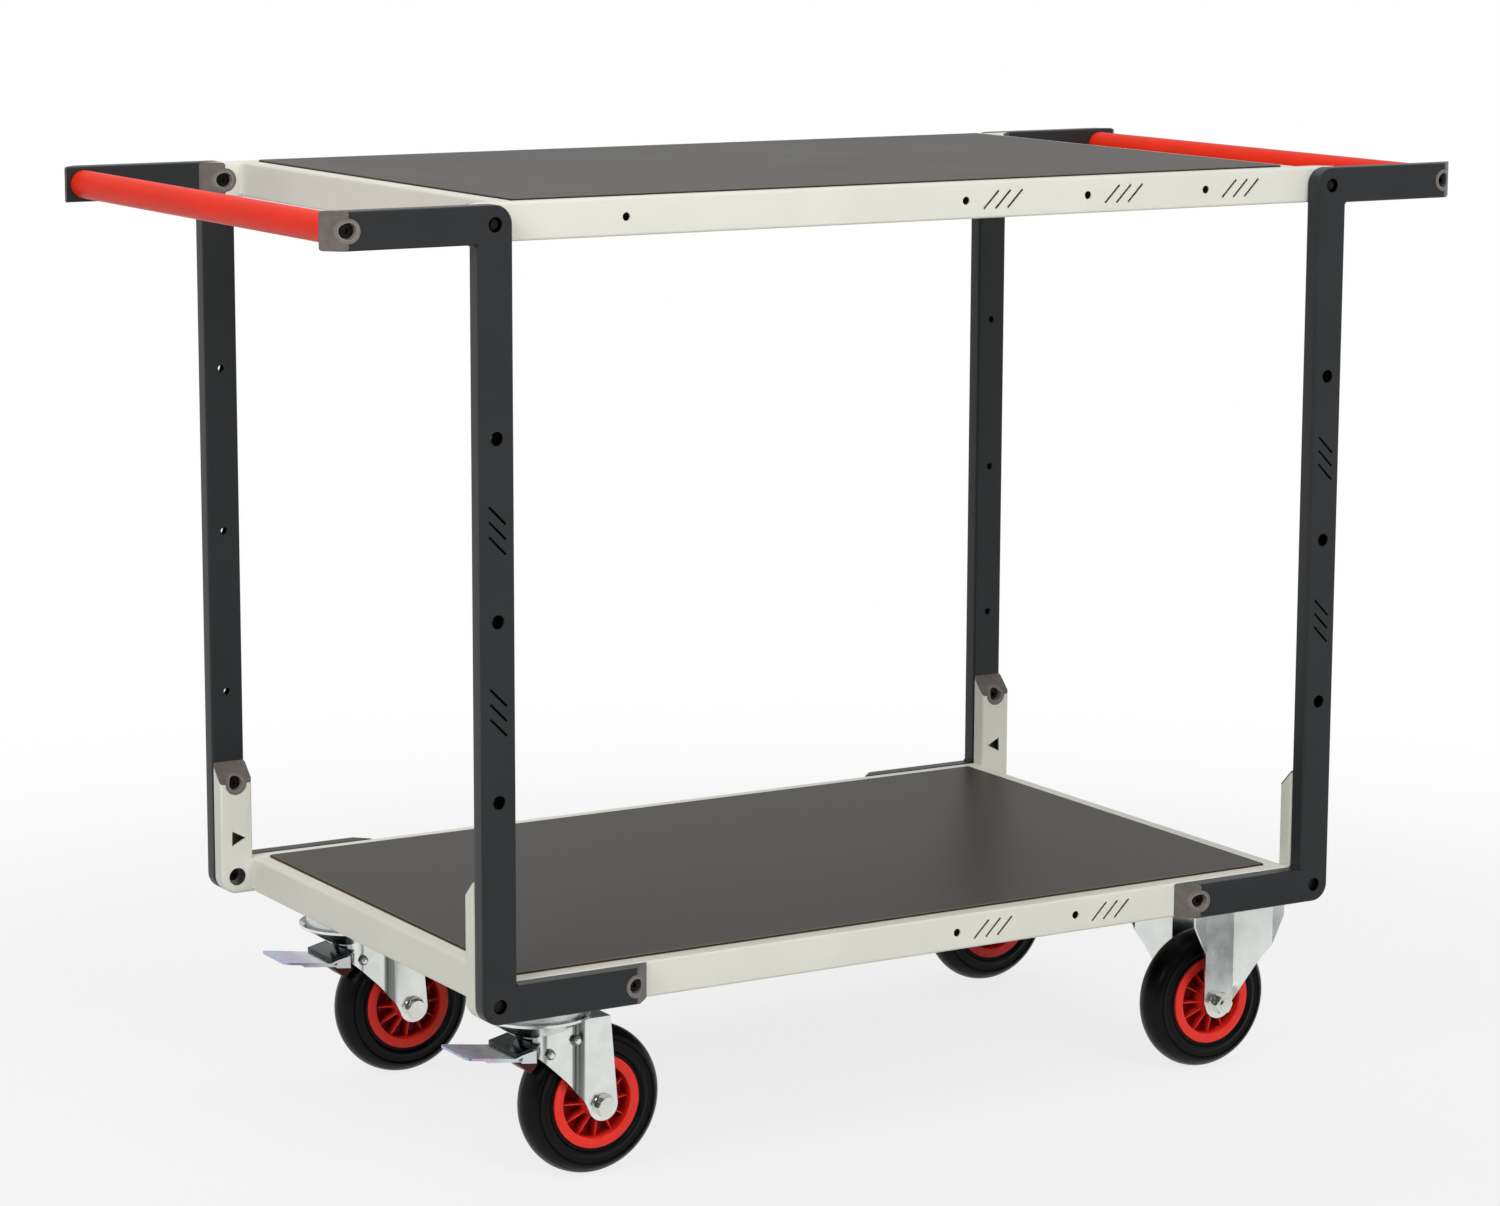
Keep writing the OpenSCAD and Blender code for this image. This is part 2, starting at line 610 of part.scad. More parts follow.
// Brake lever in the frame of its pivot: hub and neck between the legs, a tread that falls
// towards the fork, a raised end with side cheeks, and a folded strip below
module at_pivot() translate([pivot_x, 0, pivot_z]) children();
module slab(points, half) rotate([90, 0, 0]) linear_extrude(2 * half, center = true) polygon(points);
strip_w = 50;
cheek_t = 3;
module brake_pedal() color("#b7c1cc") at_pivot() difference() {
  union() {
    rotate([90, 0, 0]) cylinder(r = hub_r, h = 2 * lever_half, center = true);
    slab([[4, -hub_r + 1], [-14.5, -7.6], [-14.5, 6.3], [-4, hub_r - 1]], lever_half);
    intersection() {
      slab([[-94, 6.4], [-94, 9], [-38, 0.6], [-30, 3.2], [-14, 6.4], [-14, 3.8], [-30, 0.6], [-38, -2]],
        tread_w / 2);
      translate([-54, 0, -big / 2]) linear_extrude(big) rounded(80, tread_w, 7);
    }
    slab([[-67, -1.2], [-69.5, 1], [-69.5, 4], [-66.5, 4], [-66, 1.4], [-14, -5], [-14, -7.6]],
      strip_w / 2);
    for (s = [-1, 1]) translate([0, s * (tread_w - cheek_t) / 2, 0])
      slab([[-30, -5.6], [-30, 3], [-14, 6.2], [-14, -7.4]], cheek_t / 2);
    slab([[-30, -5.6], [-30, -3.1], [-14, -5], [-14, -7.6]], tread_w / 2);
  }
  rotate([90, 0, 0]) cylinder(d = pivot_d + 2 * fit, h = big, center = true);
  shoe_form(air);
}

// Release plate above the tread, with its outer edge folded down
module release_plate() color("#22282a") at_pivot() {
  slab([[-37, 1.2], [-37, 5.3], [-15, 10.4], [-15, 7.8], [-34.6, 3.4], [-34.6, 2]], tread_w / 2);
  slab([[-15, 7.8], [-15, 10.4], [-5, 8.8], [-5, 6.2]], lever_half);
}
// Brake shoe, laid on the tyre with the pedal down and turned back to rest
module shoe_form(skin) rotate([0, brake_travel, 0])
  translate([trail - pivot_x, 0, axle_z - pivot_z]) rotate([90, 0, 0])
    linear_extrude(2 * (lever_half + skin), center = true) intersection() {
      difference() {
        circle(r = wheel_d / 2 + shoe_gap + shoe_t + skin, $fn = 96);
        circle(r = wheel_d / 2 + shoe_gap - skin, $fn = 96);
      }
      polygon([[0, 0], 2 * big * [-cos(shoe_from), sin(shoe_from)],
        2 * big * [-cos(shoe_to), sin(shoe_to)]]);
    }
module brake_shoe() color("#5a1418") at_pivot() shoe_form(0);

// Fixed castor. Its frame has the axle above the origin.
module at_fixed(sy) translate([fixed_x, sy * castor_y, 0]) children();
wing_dx = 26;
lip_w = 16;
wing_x = strip_half + wing_dx + lip_w;
module wing_section() {
  translate([-strip_half, leg_in]) square([2 * strip_half, sheet]);
  for (s = [-1, 1]) flip_x(s < 0) {
    polygon([[strip_half, leg_in], [strip_half, leg_out], [strip_half + wing_dx, leg_out + flare],
      [strip_half + wing_dx, leg_in + flare]]);
    translate([strip_half + wing_dx, leg_in + flare]) square([lip_w, sheet]);
  }
}
module wing_outline() {
  circle(r = lobe_r + 1);
  top = castor_h - axle_z;
  for (s = [-1, 1]) flip_x(s < 0)
    polygon([[0, -5], [lobe_r, -5], [lobe_r + 4, 5], [38, 53], [wing_x, 102], [wing_x, top], [0, top]]);
}
module fixed_fork() color("#d6dad8") difference() {
  union() {
    translate([0, 0, axle_z]) for (s = [-1, 1]) flip_y(s < 0) intersection() {
      translate([0, 0, -2 * lobe_r]) linear_extrude(2 * lobe_r + castor_h - axle_z) wing_section();
      rotate([90, 0, 0]) linear_extrude(3 * big, center = true) wing_outline();
    }
    translate([0, 0, castor_h - sheet]) linear_extrude(sheet)
      rounded(2 * wing_x, 2 * (leg_out + flare), 8);
  }
  translate([0, 0, axle_z]) rotate([90, 0, 0]) cylinder(d = axle_d + 2 * fit, h = 2 * big, center = true);
  translate([0, 0, castor_h - sheet - 1]) castor_pattern(true)
    cylinder(d = castor_bolt_d + 2 * air, h = sheet + 2);
}
module fixed_axles() color("#c4c6c6") for (sy = [-1, 1]) at_fixed(sy) translate([0, 0, axle_z])
  mirror([0, 1, 0]) axle_bolt(leg_out);
module fixed_axle_sleeves() for (sy = [-1, 1]) at_fixed(sy) translate([0, 0, axle_z]) axle_sleeve();

// Wheel about the origin, axle along Y: rubber tyre, ribbed rim and roller cage
tread_r = 23;
seat_rib = 2;
module tyre() color("#161616") rotate([90, 0, 0]) rotate_extrude($fn = 96) difference() {
  intersection() {
    translate([rim_d / 2, -tyre_w / 2]) square([wheel_d / 2, tyre_w]);
    union() {
      translate([wheel_d / 2 - tread_r, 0]) circle(r = tread_r, $fn = 96);
      translate([0, -tyre_w / 2]) square([wheel_d / 2 - tread_r, tyre_w]);
    }
  }
  translate([0, -6]) square([rim_d / 2 + seat_rib + fit, 12]);
  for (s = [-1, 1]) translate([rim_d / 2 + 5, s * (tyre_w / 2 + 1)]) circle(r = 3.5);
  for (s = [-1, 1]) translate([wheel_d / 2 - 13, s * (tyre_w / 2 + 0.6)]) circle(r = 1.6);
}
module rim() color("#e23c2a") rotate([90, 0, 0]) difference() {
  union() {
    rotate_extrude($fn = 96) {
      translate([barrel_d / 2, -tyre_w / 2]) square([(rim_d - barrel_d) / 2 - fit, tyre_w]);
      translate([barrel_d / 2, fit - 6]) square([(rim_d - barrel_d) / 2 + seat_rib, 12 - 2 * fit]);
      translate([cage_d / 2, -hub_l / 2]) square([5, hub_l]);
      translate([cage_d / 2, -2]) square([(barrel_d - cage_d) / 2 + 1, 4]);
    }
    for (a = [0:rib_n - 1]) rotate(a * 360 / rib_n) translate([cage_d / 2 + 3, -1.25, 6 - tyre_w / 2])
      cube([(barrel_d - cage_d) / 2 - 2, 2.5, tyre_w - 12]);
  }
  cylinder(d = cage_d + 2 * fit, h = hub_l + 2, center = true);
}
module roller_cage() color("#d8d4c4") rotate([90, 0, 0]) difference() {
  cylinder(d = cage_d, h = hub_l - 4, center = true);
  cylinder(d = sleeve_d + 2 * fit, h = hub_l, center = true);
}

mirror([1, 0, 0]) side_frame(-1);  // side_frame_front_left
rotate(180) side_frame(1);  // side_frame_back_left
side_frame(1);  // side_frame_front_right
mirror([0, 1, 0]) side_frame(-1);  // side_frame_back_right
handle_bar(-1);  // handle_bar_left
handle_bar(1);  // handle_bar_right
handle_bar_plugs();
frame_end_caps();
shelf_end_caps();
frame_screws();
corner_screws();
threaded_inserts();
upper_side_rail();  // upper_rail_front
rotate(180) upper_side_rail();  // upper_rail_back
end_rail(-1, upper_z);  // upper_rail_left
end_rail(1, upper_z);  // upper_rail_right
lower_side_rail();  // lower_rail_front
rotate(180) lower_side_rail();  // lower_rail_back
end_rail(-1, lower_z);  // lower_rail_left
end_rail(1, lower_z);  // lower_rail_right
deck(upper_z);  // upper_deck
deck(lower_z);  // lower_deck
deck_ledges();
deck_screws();
castor_channels();
castor_bolts();
at_swivel(-1) top_plate();  // top_plate_front_left
at_swivel(1) top_plate();  // top_plate_back_left
at_swivel(-1) kingpin();  // kingpin_front_left
at_swivel(1) kingpin();  // kingpin_back_left
at_swivel(-1) swivel_fork();  // swivel_fork_front_left
at_swivel(1) swivel_fork();  // swivel_fork_back_left
at_swivel(-1) at_axle() color("#c4c6c6") axle_bolt(leg_out);  // axle_front_left
at_swivel(1) at_axle() color("#c4c6c6") axle_bolt(leg_out);  // axle_back_left
at_swivel(-1) at_axle() axle_sleeve();  // axle_sleeve_front_left
at_swivel(1) at_axle() axle_sleeve();  // axle_sleeve_back_left
at_swivel(-1) brake_bolts();  // brake_bolts_front_left
at_swivel(1) brake_bolts();  // brake_bolts_back_left
at_swivel(-1) brake_pedal();  // brake_pedal_front_left
at_swivel(1) brake_pedal();  // brake_pedal_back_left
at_swivel(-1) release_plate();  // release_plate_front_left
at_swivel(1) release_plate();  // release_plate_back_left
at_swivel(-1) brake_shoe();  // brake_shoe_front_left
at_swivel(1) brake_shoe();  // brake_shoe_back_left
at_fixed(-1) fixed_fork();  // fixed_fork_front_right
at_fixed(1) fixed_fork();  // fixed_fork_back_right
fixed_axles();
fixed_axle_sleeves();
at_swivel(-1) at_axle() tyre();  // tyre_front_left
at_swivel(1) at_axle() tyre();  // tyre_back_left
at_fixed(-1) translate([0, 0, axle_z]) tyre();  // tyre_front_right
at_fixed(1) translate([0, 0, axle_z]) tyre();  // tyre_back_right
at_swivel(-1) at_axle() rim();  // rim_front_left
at_swivel(1) at_axle() rim();  // rim_back_left
at_fixed(-1) translate([0, 0, axle_z]) rim();  // rim_front_right
at_fixed(1) translate([0, 0, axle_z]) rim();  // rim_back_right
at_swivel(-1) at_axle() roller_cage();  // roller_cage_front_left
at_swivel(1) at_axle() roller_cage();  // roller_cage_back_left
at_fixed(-1) translate([0, 0, axle_z]) roller_cage();  // roller_cage_front_right
at_fixed(1) translate([0, 0, axle_z]) roller_cage();  // roller_cage_back_right
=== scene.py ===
# %% [markdown]
# # A two-shelf utility cart
# The cart has a dark powder-coated frame of flat tube, two black boards in pale rails, two red push
# bars and four castors with black tyres on red rims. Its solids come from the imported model, in
# metres. This lesson gives each of them a finish, and swaps the ones that want more detail, such as
# wheels, screws and pressed sheet, for finer pieces in the same place.

# %% Load the frame
import json
import math
import bpy
import bmesh
from mathutils import Matrix, Vector


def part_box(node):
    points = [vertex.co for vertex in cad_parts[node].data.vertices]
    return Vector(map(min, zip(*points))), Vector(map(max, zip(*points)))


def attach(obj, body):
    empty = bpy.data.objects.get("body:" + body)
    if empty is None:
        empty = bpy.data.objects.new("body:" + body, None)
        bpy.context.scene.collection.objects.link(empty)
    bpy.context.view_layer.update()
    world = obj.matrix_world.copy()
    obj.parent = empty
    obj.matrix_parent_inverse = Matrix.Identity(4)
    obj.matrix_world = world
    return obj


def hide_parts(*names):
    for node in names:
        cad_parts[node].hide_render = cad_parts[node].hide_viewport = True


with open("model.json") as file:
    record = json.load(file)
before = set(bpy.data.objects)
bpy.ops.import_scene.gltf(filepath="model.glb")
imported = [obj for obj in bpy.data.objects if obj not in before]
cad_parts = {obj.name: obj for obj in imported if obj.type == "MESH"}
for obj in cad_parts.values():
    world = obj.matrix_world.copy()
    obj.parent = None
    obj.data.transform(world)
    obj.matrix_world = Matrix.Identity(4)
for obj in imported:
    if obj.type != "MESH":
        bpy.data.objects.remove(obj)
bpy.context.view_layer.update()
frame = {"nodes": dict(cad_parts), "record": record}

nodes = frame["nodes"]

# %% [markdown]
# ## Places to work from
# Wheels, forks, bolts and the painted shade on them are all set out from the four axles. Their places
# could be typed again from the drawing, but measured from the boxes of the imported tyres they follow
# any change of the model.

# %% Measure the axles
MM = 0.001
SWIVEL, FIXED = ("front_left", "back_left"), ("front_right", "back_right")


def centre_of(node):
    lo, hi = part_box(node)
    return (lo + hi) / 2


AXLE = {corner: centre_of("tyre_" + corner) for corner in SWIVEL + FIXED}
HALF_TRACK = abs(AXLE["front_left"].y)
for corner, at in AXLE.items():
    print(corner, "axle at", [round(v / MM, 1) for v in at], "mm")

# %% [markdown]
# ## Camera
# The photograph was taken from the front left, a little above the top shelf, with a long lens. The
# camera could be aimed by eye, but its place here comes from a fit of seventy points of the frame,
# so that rails, holes and wheels fall where the photograph has them. Its three axes are worked out
# from the angles, because a tracking constraint couldn't hold the small roll.

# %% Camera
FOCAL_PX, IMAGE_W, SENSOR_W = 4289.6, 1500, 36
AZIMUTH, ELEVATION, ROLL = (math.radians(v) for v in (-30.95, 10.02, 0.21))
EYE = Vector((-2.4107, -3.9844, 1.3590))

back = Vector((math.sin(AZIMUTH) * math.cos(ELEVATION), -math.cos(AZIMUTH) * math.cos(ELEVATION),
               math.sin(ELEVATION)))
level = Vector((math.cos(AZIMUTH), math.sin(AZIMUTH), 0))
rise = back.cross(level)
right = level * math.cos(ROLL) + rise * math.sin(ROLL)
up = rise * math.cos(ROLL) - level * math.sin(ROLL)

lens = bpy.data.cameras.new("camera")
lens.sensor_fit = "HORIZONTAL"
lens.sensor_width = SENSOR_W
lens.lens = FOCAL_PX * SENSOR_W / IMAGE_W
lens.clip_end = 100
camera = bpy.data.objects.new("camera", lens)
camera.matrix_world = Matrix((right, up, back)).transposed().to_4x4()
camera.matrix_world.translation = EYE
bpy.context.scene.collection.objects.link(camera)
bpy.context.scene.camera = camera
bpy.context.scene.view_settings.view_transform = "Standard"
print("lens %.1f mm" % lens.lens)

# %% [markdown]
# ## Shader arithmetic
# A finish is mostly small sums: a noise, scaled, added to a roughness. Written node by node that is
# long, so one class wraps a socket and lets Python's own signs add the Math nodes. Every other node
# comes from a single method that sets its options first and then fills its sockets.

# %% Values that can be added and multiplied
class Value:
    def __init__(self, finish, socket):
        self.finish, self.socket = finish, socket

    def maths(self, kind, a, b):
        return self.finish.node("Math", {0: a, 1: b}, operation=kind)

    def __add__(self, other):
        return self.maths("ADD", self, other)

    def __sub__(self, other):
        return self.maths("SUBTRACT", self, other)

    def __rsub__(self, other):
        return self.maths("SUBTRACT", other, self)

    def __mul__(self, other):
        return self.maths("MULTIPLY", self, other)

    def __truediv__(self, other):
        return self.maths("DIVIDE", self, other)

    def __abs__(self):
        return self.maths("ABSOLUTE", self, 0)

    __radd__ = __add__
    __rmul__ = __mul__


def paint(red, green, blue):
    """A colour as a camera or a screen gives it, 0 to 255, in Blender's linear light."""
    def linear(v):
        v /= 255
        return v / 12.92 if v <= 0.04045 else ((v + 0.055) / 1.055) ** 2.4
    return (linear(red), linear(green), linear(blue), 1)


def times(colour, factor):
    """The colour made paler or deeper by a factor."""
    return tuple(min(1, c * factor) for c in colour[:3]) + (1,)


print("a mid grey in linear light: %.3f" % paint(128, 128, 128)[0])

# %% [markdown]
# ## A class for finishes
# Every finish is one Principled shader. Its fixed values are set on its sockets, and only what varies
# over the surface is linked in. The patterns read Object coordinates, which are metres on the cart
# itself, so that a grain has its real size and stays with its piece when a wheel turns.

# %% A finish
class Finish:
    """One node material: a Principled shader with constants on it, and varying values linked in."""

    def __init__(self, name, **constants):
        self.material = bpy.data.materials.new(name)
        self.material.use_nodes = True
        self.tree = self.material.node_tree
        self.shader = self.tree.nodes["Principled BSDF"]
        for socket, value in constants.items():
            self.shader.inputs[socket.replace("_", " ")].default_value = value
        self.place = self.node("TexCoord", out="Object")

    def node(self, kind, inputs=None, out=0, stops=None, **settings):
        made = self.tree.nodes.new("ShaderNode" + kind)
        for key, value in settings.items():
            setattr(made, key, value)
        if stops:
            while len(made.color_ramp.elements) < len(stops):
                made.color_ramp.elements.new(1)
            for element, (position, colour) in zip(made.color_ramp.elements, stops):
                element.position, element.color = position, colour
        for key, value in (inputs or {}).items():
            if isinstance(value, Value):
                self.tree.links.new(value.socket, made.inputs[key])
            else:
                made.inputs[key].default_value = value
        return Value(self, made.outputs[out])

    def noise(self, size, detail, stretch=(1, 1, 1)):
        """Soft noise around 0.5 whose blots are about size metres across."""
        at = self.node("Mapping", {"Vector": self.place, "Scale": stretch})
        return self.node("TexNoise", {"Vector": at, "Scale": 1 / size, "Detail": detail})

    def parts(self):
        """The three Object coordinates, in metres."""
        split = self.node("SeparateXYZ", {"Vector": self.place}).socket.node
        return [Value(self, s) for s in split.outputs]

    def mix(self, factor, a, b):
        """Colour a where factor is 0, b where it is 1."""
        return self.node("Mix", {0: factor, 6: a, 7: b}, out=2, data_type="RGBA")

    def step(self, value, low, high):
        """0 below low, 1 above high, smooth between."""
        return self.node("MapRange", {"Value": value, "From Min": low, "From Max": high},
                         interpolation_type="SMOOTHSTEP")

    def bump(self, height, depth, soften):
        """A Bump node of depth metres; soften is an edge rounding that it starts from."""
        rounded = self.node("Bevel", {"Radius": soften}, samples=4)
        return self.node("Bump", {"Height": height, "Distance": depth, "Strength": 1.0, "Normal": rounded})

    def use(self, **links):
        for socket, value in links.items():
            self.tree.links.new(value.socket, self.shader.inputs[socket.replace("_", " ")])
        return self.material


print("shader tools ready")

# %% [markdown]
# ## Powder coats
# Both coats are polyester powder: a satin skin with a fine orange peel of about a millimetre. Paint
# flows away from sharp arrises and catches a thin light there, so a Bevel node rounds the edges by
# just under a millimetre before the peel is added. Slow, faint changes of tone keep long tubes from
# looking printed. The rails' hollows get painted shade: an Ambient Occlusion node finds the places
# that little light reaches, and there the pale coat turns dark grey, which makes slots and holes
# read dark.

# %% Powder coats and painted bars
PEEL_SIZE, PEEL_DEPTH, ARRIS = 1.2 * MM, 0.03 * MM, 0.8 * MM
INSIDE_REACH = 35 * MM
# Dark grey painted into the rails' hollows as shade.
INSIDE_SHADE_COLOUR = paint(58, 55, 50)


def powder_coat(name, colour, roughness, tone=0.06, sheen=0.5, painted_inside_shade=False):
    f = Finish(name, IOR=1.47, Specular_IOR_Level=sheen)
    drift = f.noise(110 * MM, 3)
    peel = f.noise(PEEL_SIZE, 2)
    shade = f.mix(f.step(drift, 0.35, 0.65), times(colour, 1 - tone), times(colour, 1 + tone))
    if painted_inside_shade:
        # Painted shade: where the Ambient Occlusion node finds a hollow, the coat is mixed to dark grey.
        light = f.node("AmbientOcclusion", {"Distance": INSIDE_REACH}, out="AO", samples=6,
                       only_local=True)
        shade = f.mix((1 - f.step(light, 0.10, 0.48)) * 0.92, shade, INSIDE_SHADE_COLOUR)
    return f.use(Base_Color=shade, Normal=f.bump(peel, PEEL_DEPTH, ARRIS),
                 Roughness=roughness + (drift - 0.5) * 0.12 + (peel - 0.5) * 0.06)


frame_coat = powder_coat("anthracite_powder_coat", paint(41, 43, 44), 0.40, sheen=0.24)
shelf_coat = powder_coat("pale_grey_powder_coat", paint(224, 223, 212), 0.46, tone=0.02,
                         painted_inside_shade=True)
bar_coat = powder_coat("red_bar_coat", paint(238, 50, 26), 0.38, tone=0.04, sheen=0.06)
print("powder coats:", frame_coat.name, shelf_coat.name, bar_coat.name)

# %% [markdown]
# ## Film-faced boards
# The decks are birch plywood with a smooth brown-black film on both faces. The film is satin and has
# a very fine mesh of pressed dots and a few pale scuffs. The bevelled edge gets a grey painted
# highlight, the brim that stands above the rails is sealed dark, and the plies are bare below it. The
# edge could be a second piece, but the shader already knows how far each point is from the board's rim.

# %% Boards
PLY, BRIM, BEVEL = 1.3 * MM, 2.4 * MM, 1.3 * MM
# The pale grey given for the bevel is a painted highlight.
SEALED_EDGE, BEVEL_HIGHLIGHT, SCUFFED_FILM = paint(52, 46, 40), paint(126, 122, 114), paint(150, 146, 140)


def from_edge(coordinate, low, high):
    """Distance from the nearer of two faces."""
    return (high - low) / 2 - abs(coordinate - (low + high) / 2)


def plywood(f, height):
    """Birch plies, pale and dark by turns."""
    grain = f.noise(4 * MM, 4, (0.25, 0.25, 6))
    plies = f.node("Math", {0: height * (math.pi / PLY)}, operation="SINE")
    return f.mix(f.step(grain + plies * 0.2, 0.3, 0.75), paint(122, 92, 56), paint(172, 140, 96))


def board_finish(name, node, film):
    lo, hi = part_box(node)
    f = Finish(name, IOR=1.5, Specular_IOR_Level=0.08)
    x, y, z = f.parts()
    rim = f.node("Math", {0: from_edge(x, lo.x, hi.x), 1: from_edge(y, lo.y, hi.y)}, operation="MINIMUM")
    side = 1 - f.step(rim, 0.1 * MM, 0.3 * MM)
    bare = side * (1 - f.step(z, hi.z - BRIM - 0.2 * MM, hi.z - BRIM + 0.2 * MM))
    # Painted highlight: a grey band along the bevelled edge, where it would catch the light.
    bevel_highlight = (1 - f.step(rim, BEVEL - 0.3 * MM, BEVEL + 0.3 * MM)) * 0.55
    cloud = f.noise(160 * MM, 3)
    weave = f.noise(1.6 * MM, 2)
    scuff = f.step(f.noise(20 * MM, 5, (1, 7, 1)), 0.66, 0.74)
    dark = f.mix(f.step(cloud, 0.3, 0.7), film, times(film, 1.22))
    scuffed_and_highlit = f.mix(bevel_highlight, f.mix(scuff * 0.10, dark, SCUFFED_FILM), BEVEL_HIGHLIGHT)
    return f.use(Base_Color=f.mix(bare, f.mix(side, scuffed_and_highlit, SEALED_EDGE), plywood(f, z - lo.z)),
                 Roughness=0.36 + cloud * 0.08 + scuff * 0.06 + bare * 0.25,
                 Normal=f.bump(weave, 0.02 * MM, 0.4 * MM))


deck_film = {"upper_deck": board_finish("upper_board_film", "upper_deck", paint(46, 44, 40)),
             "lower_deck": board_finish("lower_board_film", "lower_deck", paint(58, 56, 53))}
print("boards:", sorted(deck_film))

# %% [markdown]
# ## Zinc
# The castor sheet is bright zinc with a bluish passivation: a mirror that has been rubbed dull, with
# faint rolling streaks. The groove pressed into a swivel fork's leg is painted darker, as the shade
# that lies in that fold. The shader finds it by its distance from the axle, which spares a second
# material on the same sheet. Bolts are the same metal, harder and brighter.

# %% Zinc
GROOVE_X = AXLE["front_left"].x - 28.5 * MM
GROOVE_WIDTH, LEG_OUTSIDE = (5.0 * MM, 8.5 * MM), (26.8 * MM, 27.5 * MM)
ROLLED = (1, 1, 0.15)


def zinc(name, colour, roughness, streak=(1, 1, 1), tint=0.04, soften=0.6 * MM, shaded_groove=False):
    f = Finish(name, Metallic=1.0)
    cloud = f.noise(20 * MM, 4)
    brushed = f.noise(1.2 * MM, 3, streak)
    shade = f.mix(f.step(cloud, 0.3, 0.7), times(colour, 1 - 2 * tint), times(colour, 1 + tint))
    if shaded_groove:
        x, y, _ = f.parts()
        outside = f.step(abs(abs(y) - HALF_TRACK), *LEG_OUTSIDE)
        pressed = (1 - f.step(abs(x - GROOVE_X), *GROOVE_WIDTH)) * outside
        # Painted shade: the zinc in the leg's pressed groove is mixed to a darker grey.
        shade = f.mix(pressed * 0.85, shade, paint(84, 90, 86))
    return f.use(Base_Color=shade, Normal=f.bump(brushed, 0.012 * MM, soften),
                 Roughness=roughness + (cloud - 0.5) * 0.16 + (brushed - 0.5) * 0.08)


fork_zinc = zinc("bright_zinc_sheet", paint(232, 236, 233), 0.24, ROLLED)
leg_zinc = zinc("bright_zinc_legs", paint(232, 236, 233), 0.24, ROLLED, shaded_groove=True)
bolt_zinc = zinc("zinc_bolts", paint(228, 228, 222), 0.17, soften=0.3 * MM)
plate_zinc = zinc("zinc_plates", paint(205, 210, 210), 0.28)
black_oxide = zinc("black_screws", paint(40, 38, 37), 0.34, tint=0.1)
nut_zinc = zinc("dull_brake_nuts", paint(112, 114, 110), 0.26, soften=0.3 * MM)
release_black = zinc("black_release_plate", paint(36, 50, 52), 0.12, tint=0.2)
print("seven metals; the groove is at x = %.1f mm" % (GROOVE_X / MM))

# %% [markdown]
# ## The tread's rainbow zinc
# The brake's tread has a thicker passivation film, which shimmers blue and violet towards its tip and
# fades to plain zinc at the lever. A true thin film could be set on the shader, but its colours would
# follow the view. A colour ramp over slow noise keeps them where they are.

# %% The tread's rainbow zinc
tread_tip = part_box("brake_pedal_front_left")[0].x
RAINBOW_END, PLAIN_START = tread_tip + 24.2 * MM, tread_tip + 50.2 * MM


def rainbow_zinc():
    """Passivated zinc whose film turns from white to blue and violet towards the tread's tip."""
    f = Finish("blue_violet_tread", Metallic=1.0)
    film = f.noise(18 * MM, 2)
    grain = f.noise(1.5 * MM, 2)
    x, _, _ = f.parts()
    hue = f.node("ValToRGB", {"Fac": film}, stops=[
        (0.30, paint(150, 178, 196)), (0.44, paint(178, 190, 212)), (0.56, paint(190, 172, 208)),
        (0.68, paint(206, 190, 196)), (0.8, paint(190, 206, 214))])
    hue = f.mix(f.step(x, RAINBOW_END, PLAIN_START), hue, paint(214, 219, 219))
    return f.use(Base_Color=hue, Roughness=0.20 + film * 0.12, Normal=f.bump(grain, 0.01 * MM, 0.5 * MM))


tread_zinc = rainbow_zinc()
print("finish:", tread_zinc.name)

# %% [markdown]
# ## Moulded plastics and rubber
# Rims, tyres and shoes are moulded, so they have a fine even grain instead of streaks, and slow flow
# marks. Light hardly gets down between a rim's ribs, and red plastic looks deep red there. So the
# rim's colour darkens from its face to its middle, by the distance from the wheel's own mid plane.

# %% Moulded plastics and rubber
GRAIN_SIZE, GRAIN_DEPTH, MOULD_EDGE, FLOW_SIZE = 0.9 * MM, 0.02 * MM, 0.5 * MM, 12 * MM
RIM_MIDDLE, RIM_FACE = 4 * MM, 19.2 * MM


def moulded(name, colour, roughness, grain=GRAIN_SIZE, depth=GRAIN_DEPTH, tone=0.06, sheen=0.5,
            recess=None):
    f = Finish(name, IOR=1.5, Specular_IOR_Level=sheen)
    skin = f.noise(grain, 2)
    flow = f.noise(FLOW_SIZE, 3)
    shade = f.mix(f.step(flow, 0.3, 0.7), times(colour, 1 - tone), times(colour, 1 + tone))
    if recess:
        _, y, _ = f.parts()
        shade = f.mix(f.step(abs(abs(y) - HALF_TRACK), RIM_MIDDLE, RIM_FACE), recess, shade)
    return f.use(Base_Color=shade, Roughness=roughness + (flow - 0.5) * 0.14,
                 Normal=f.bump(skin, depth, MOULD_EDGE))


rim_plastic = moulded("red_rim_plastic", paint(240, 50, 37), 0.36, tone=0.05, sheen=0.34,
                      recess=paint(150, 12, 15))
tyre_rubber = moulded("black_tyre_rubber", paint(10, 9, 9), 0.32, 1.4 * MM, 0.03 * MM, 0.14, sheen=0.13)
shoe_plastic = moulded("dark_red_shoe", paint(74, 18, 22), 0.42, sheen=0.3)
cage_nylon = moulded("ivory_nylon", paint(216, 211, 192), 0.4)
print("plastics made")

# %% [markdown]
# ## Caps
# A taupe cap closes each slanted tube end. Its screw sits in a round recess, and the ring about it
# gets a paler painted highlight, as where its moulded edges catch the light. Eight caps make one mesh,
# so the shader measures how far a point is from the nearest screw's axis. Four places are enough for
# all sixteen screws, because x is taken without its sign and y isn't asked for.

# %% Caps with a paler lip round each screw recess
POST_X = 508 * MM
SCREWS = ((663 * MM, 1000 * MM), (353 * MM, 226 * MM), (POST_X, 1000 * MM), (POST_X, 332 * MM))
RECESS_R, LIP_R = 8.9 * MM, 10.2 * MM


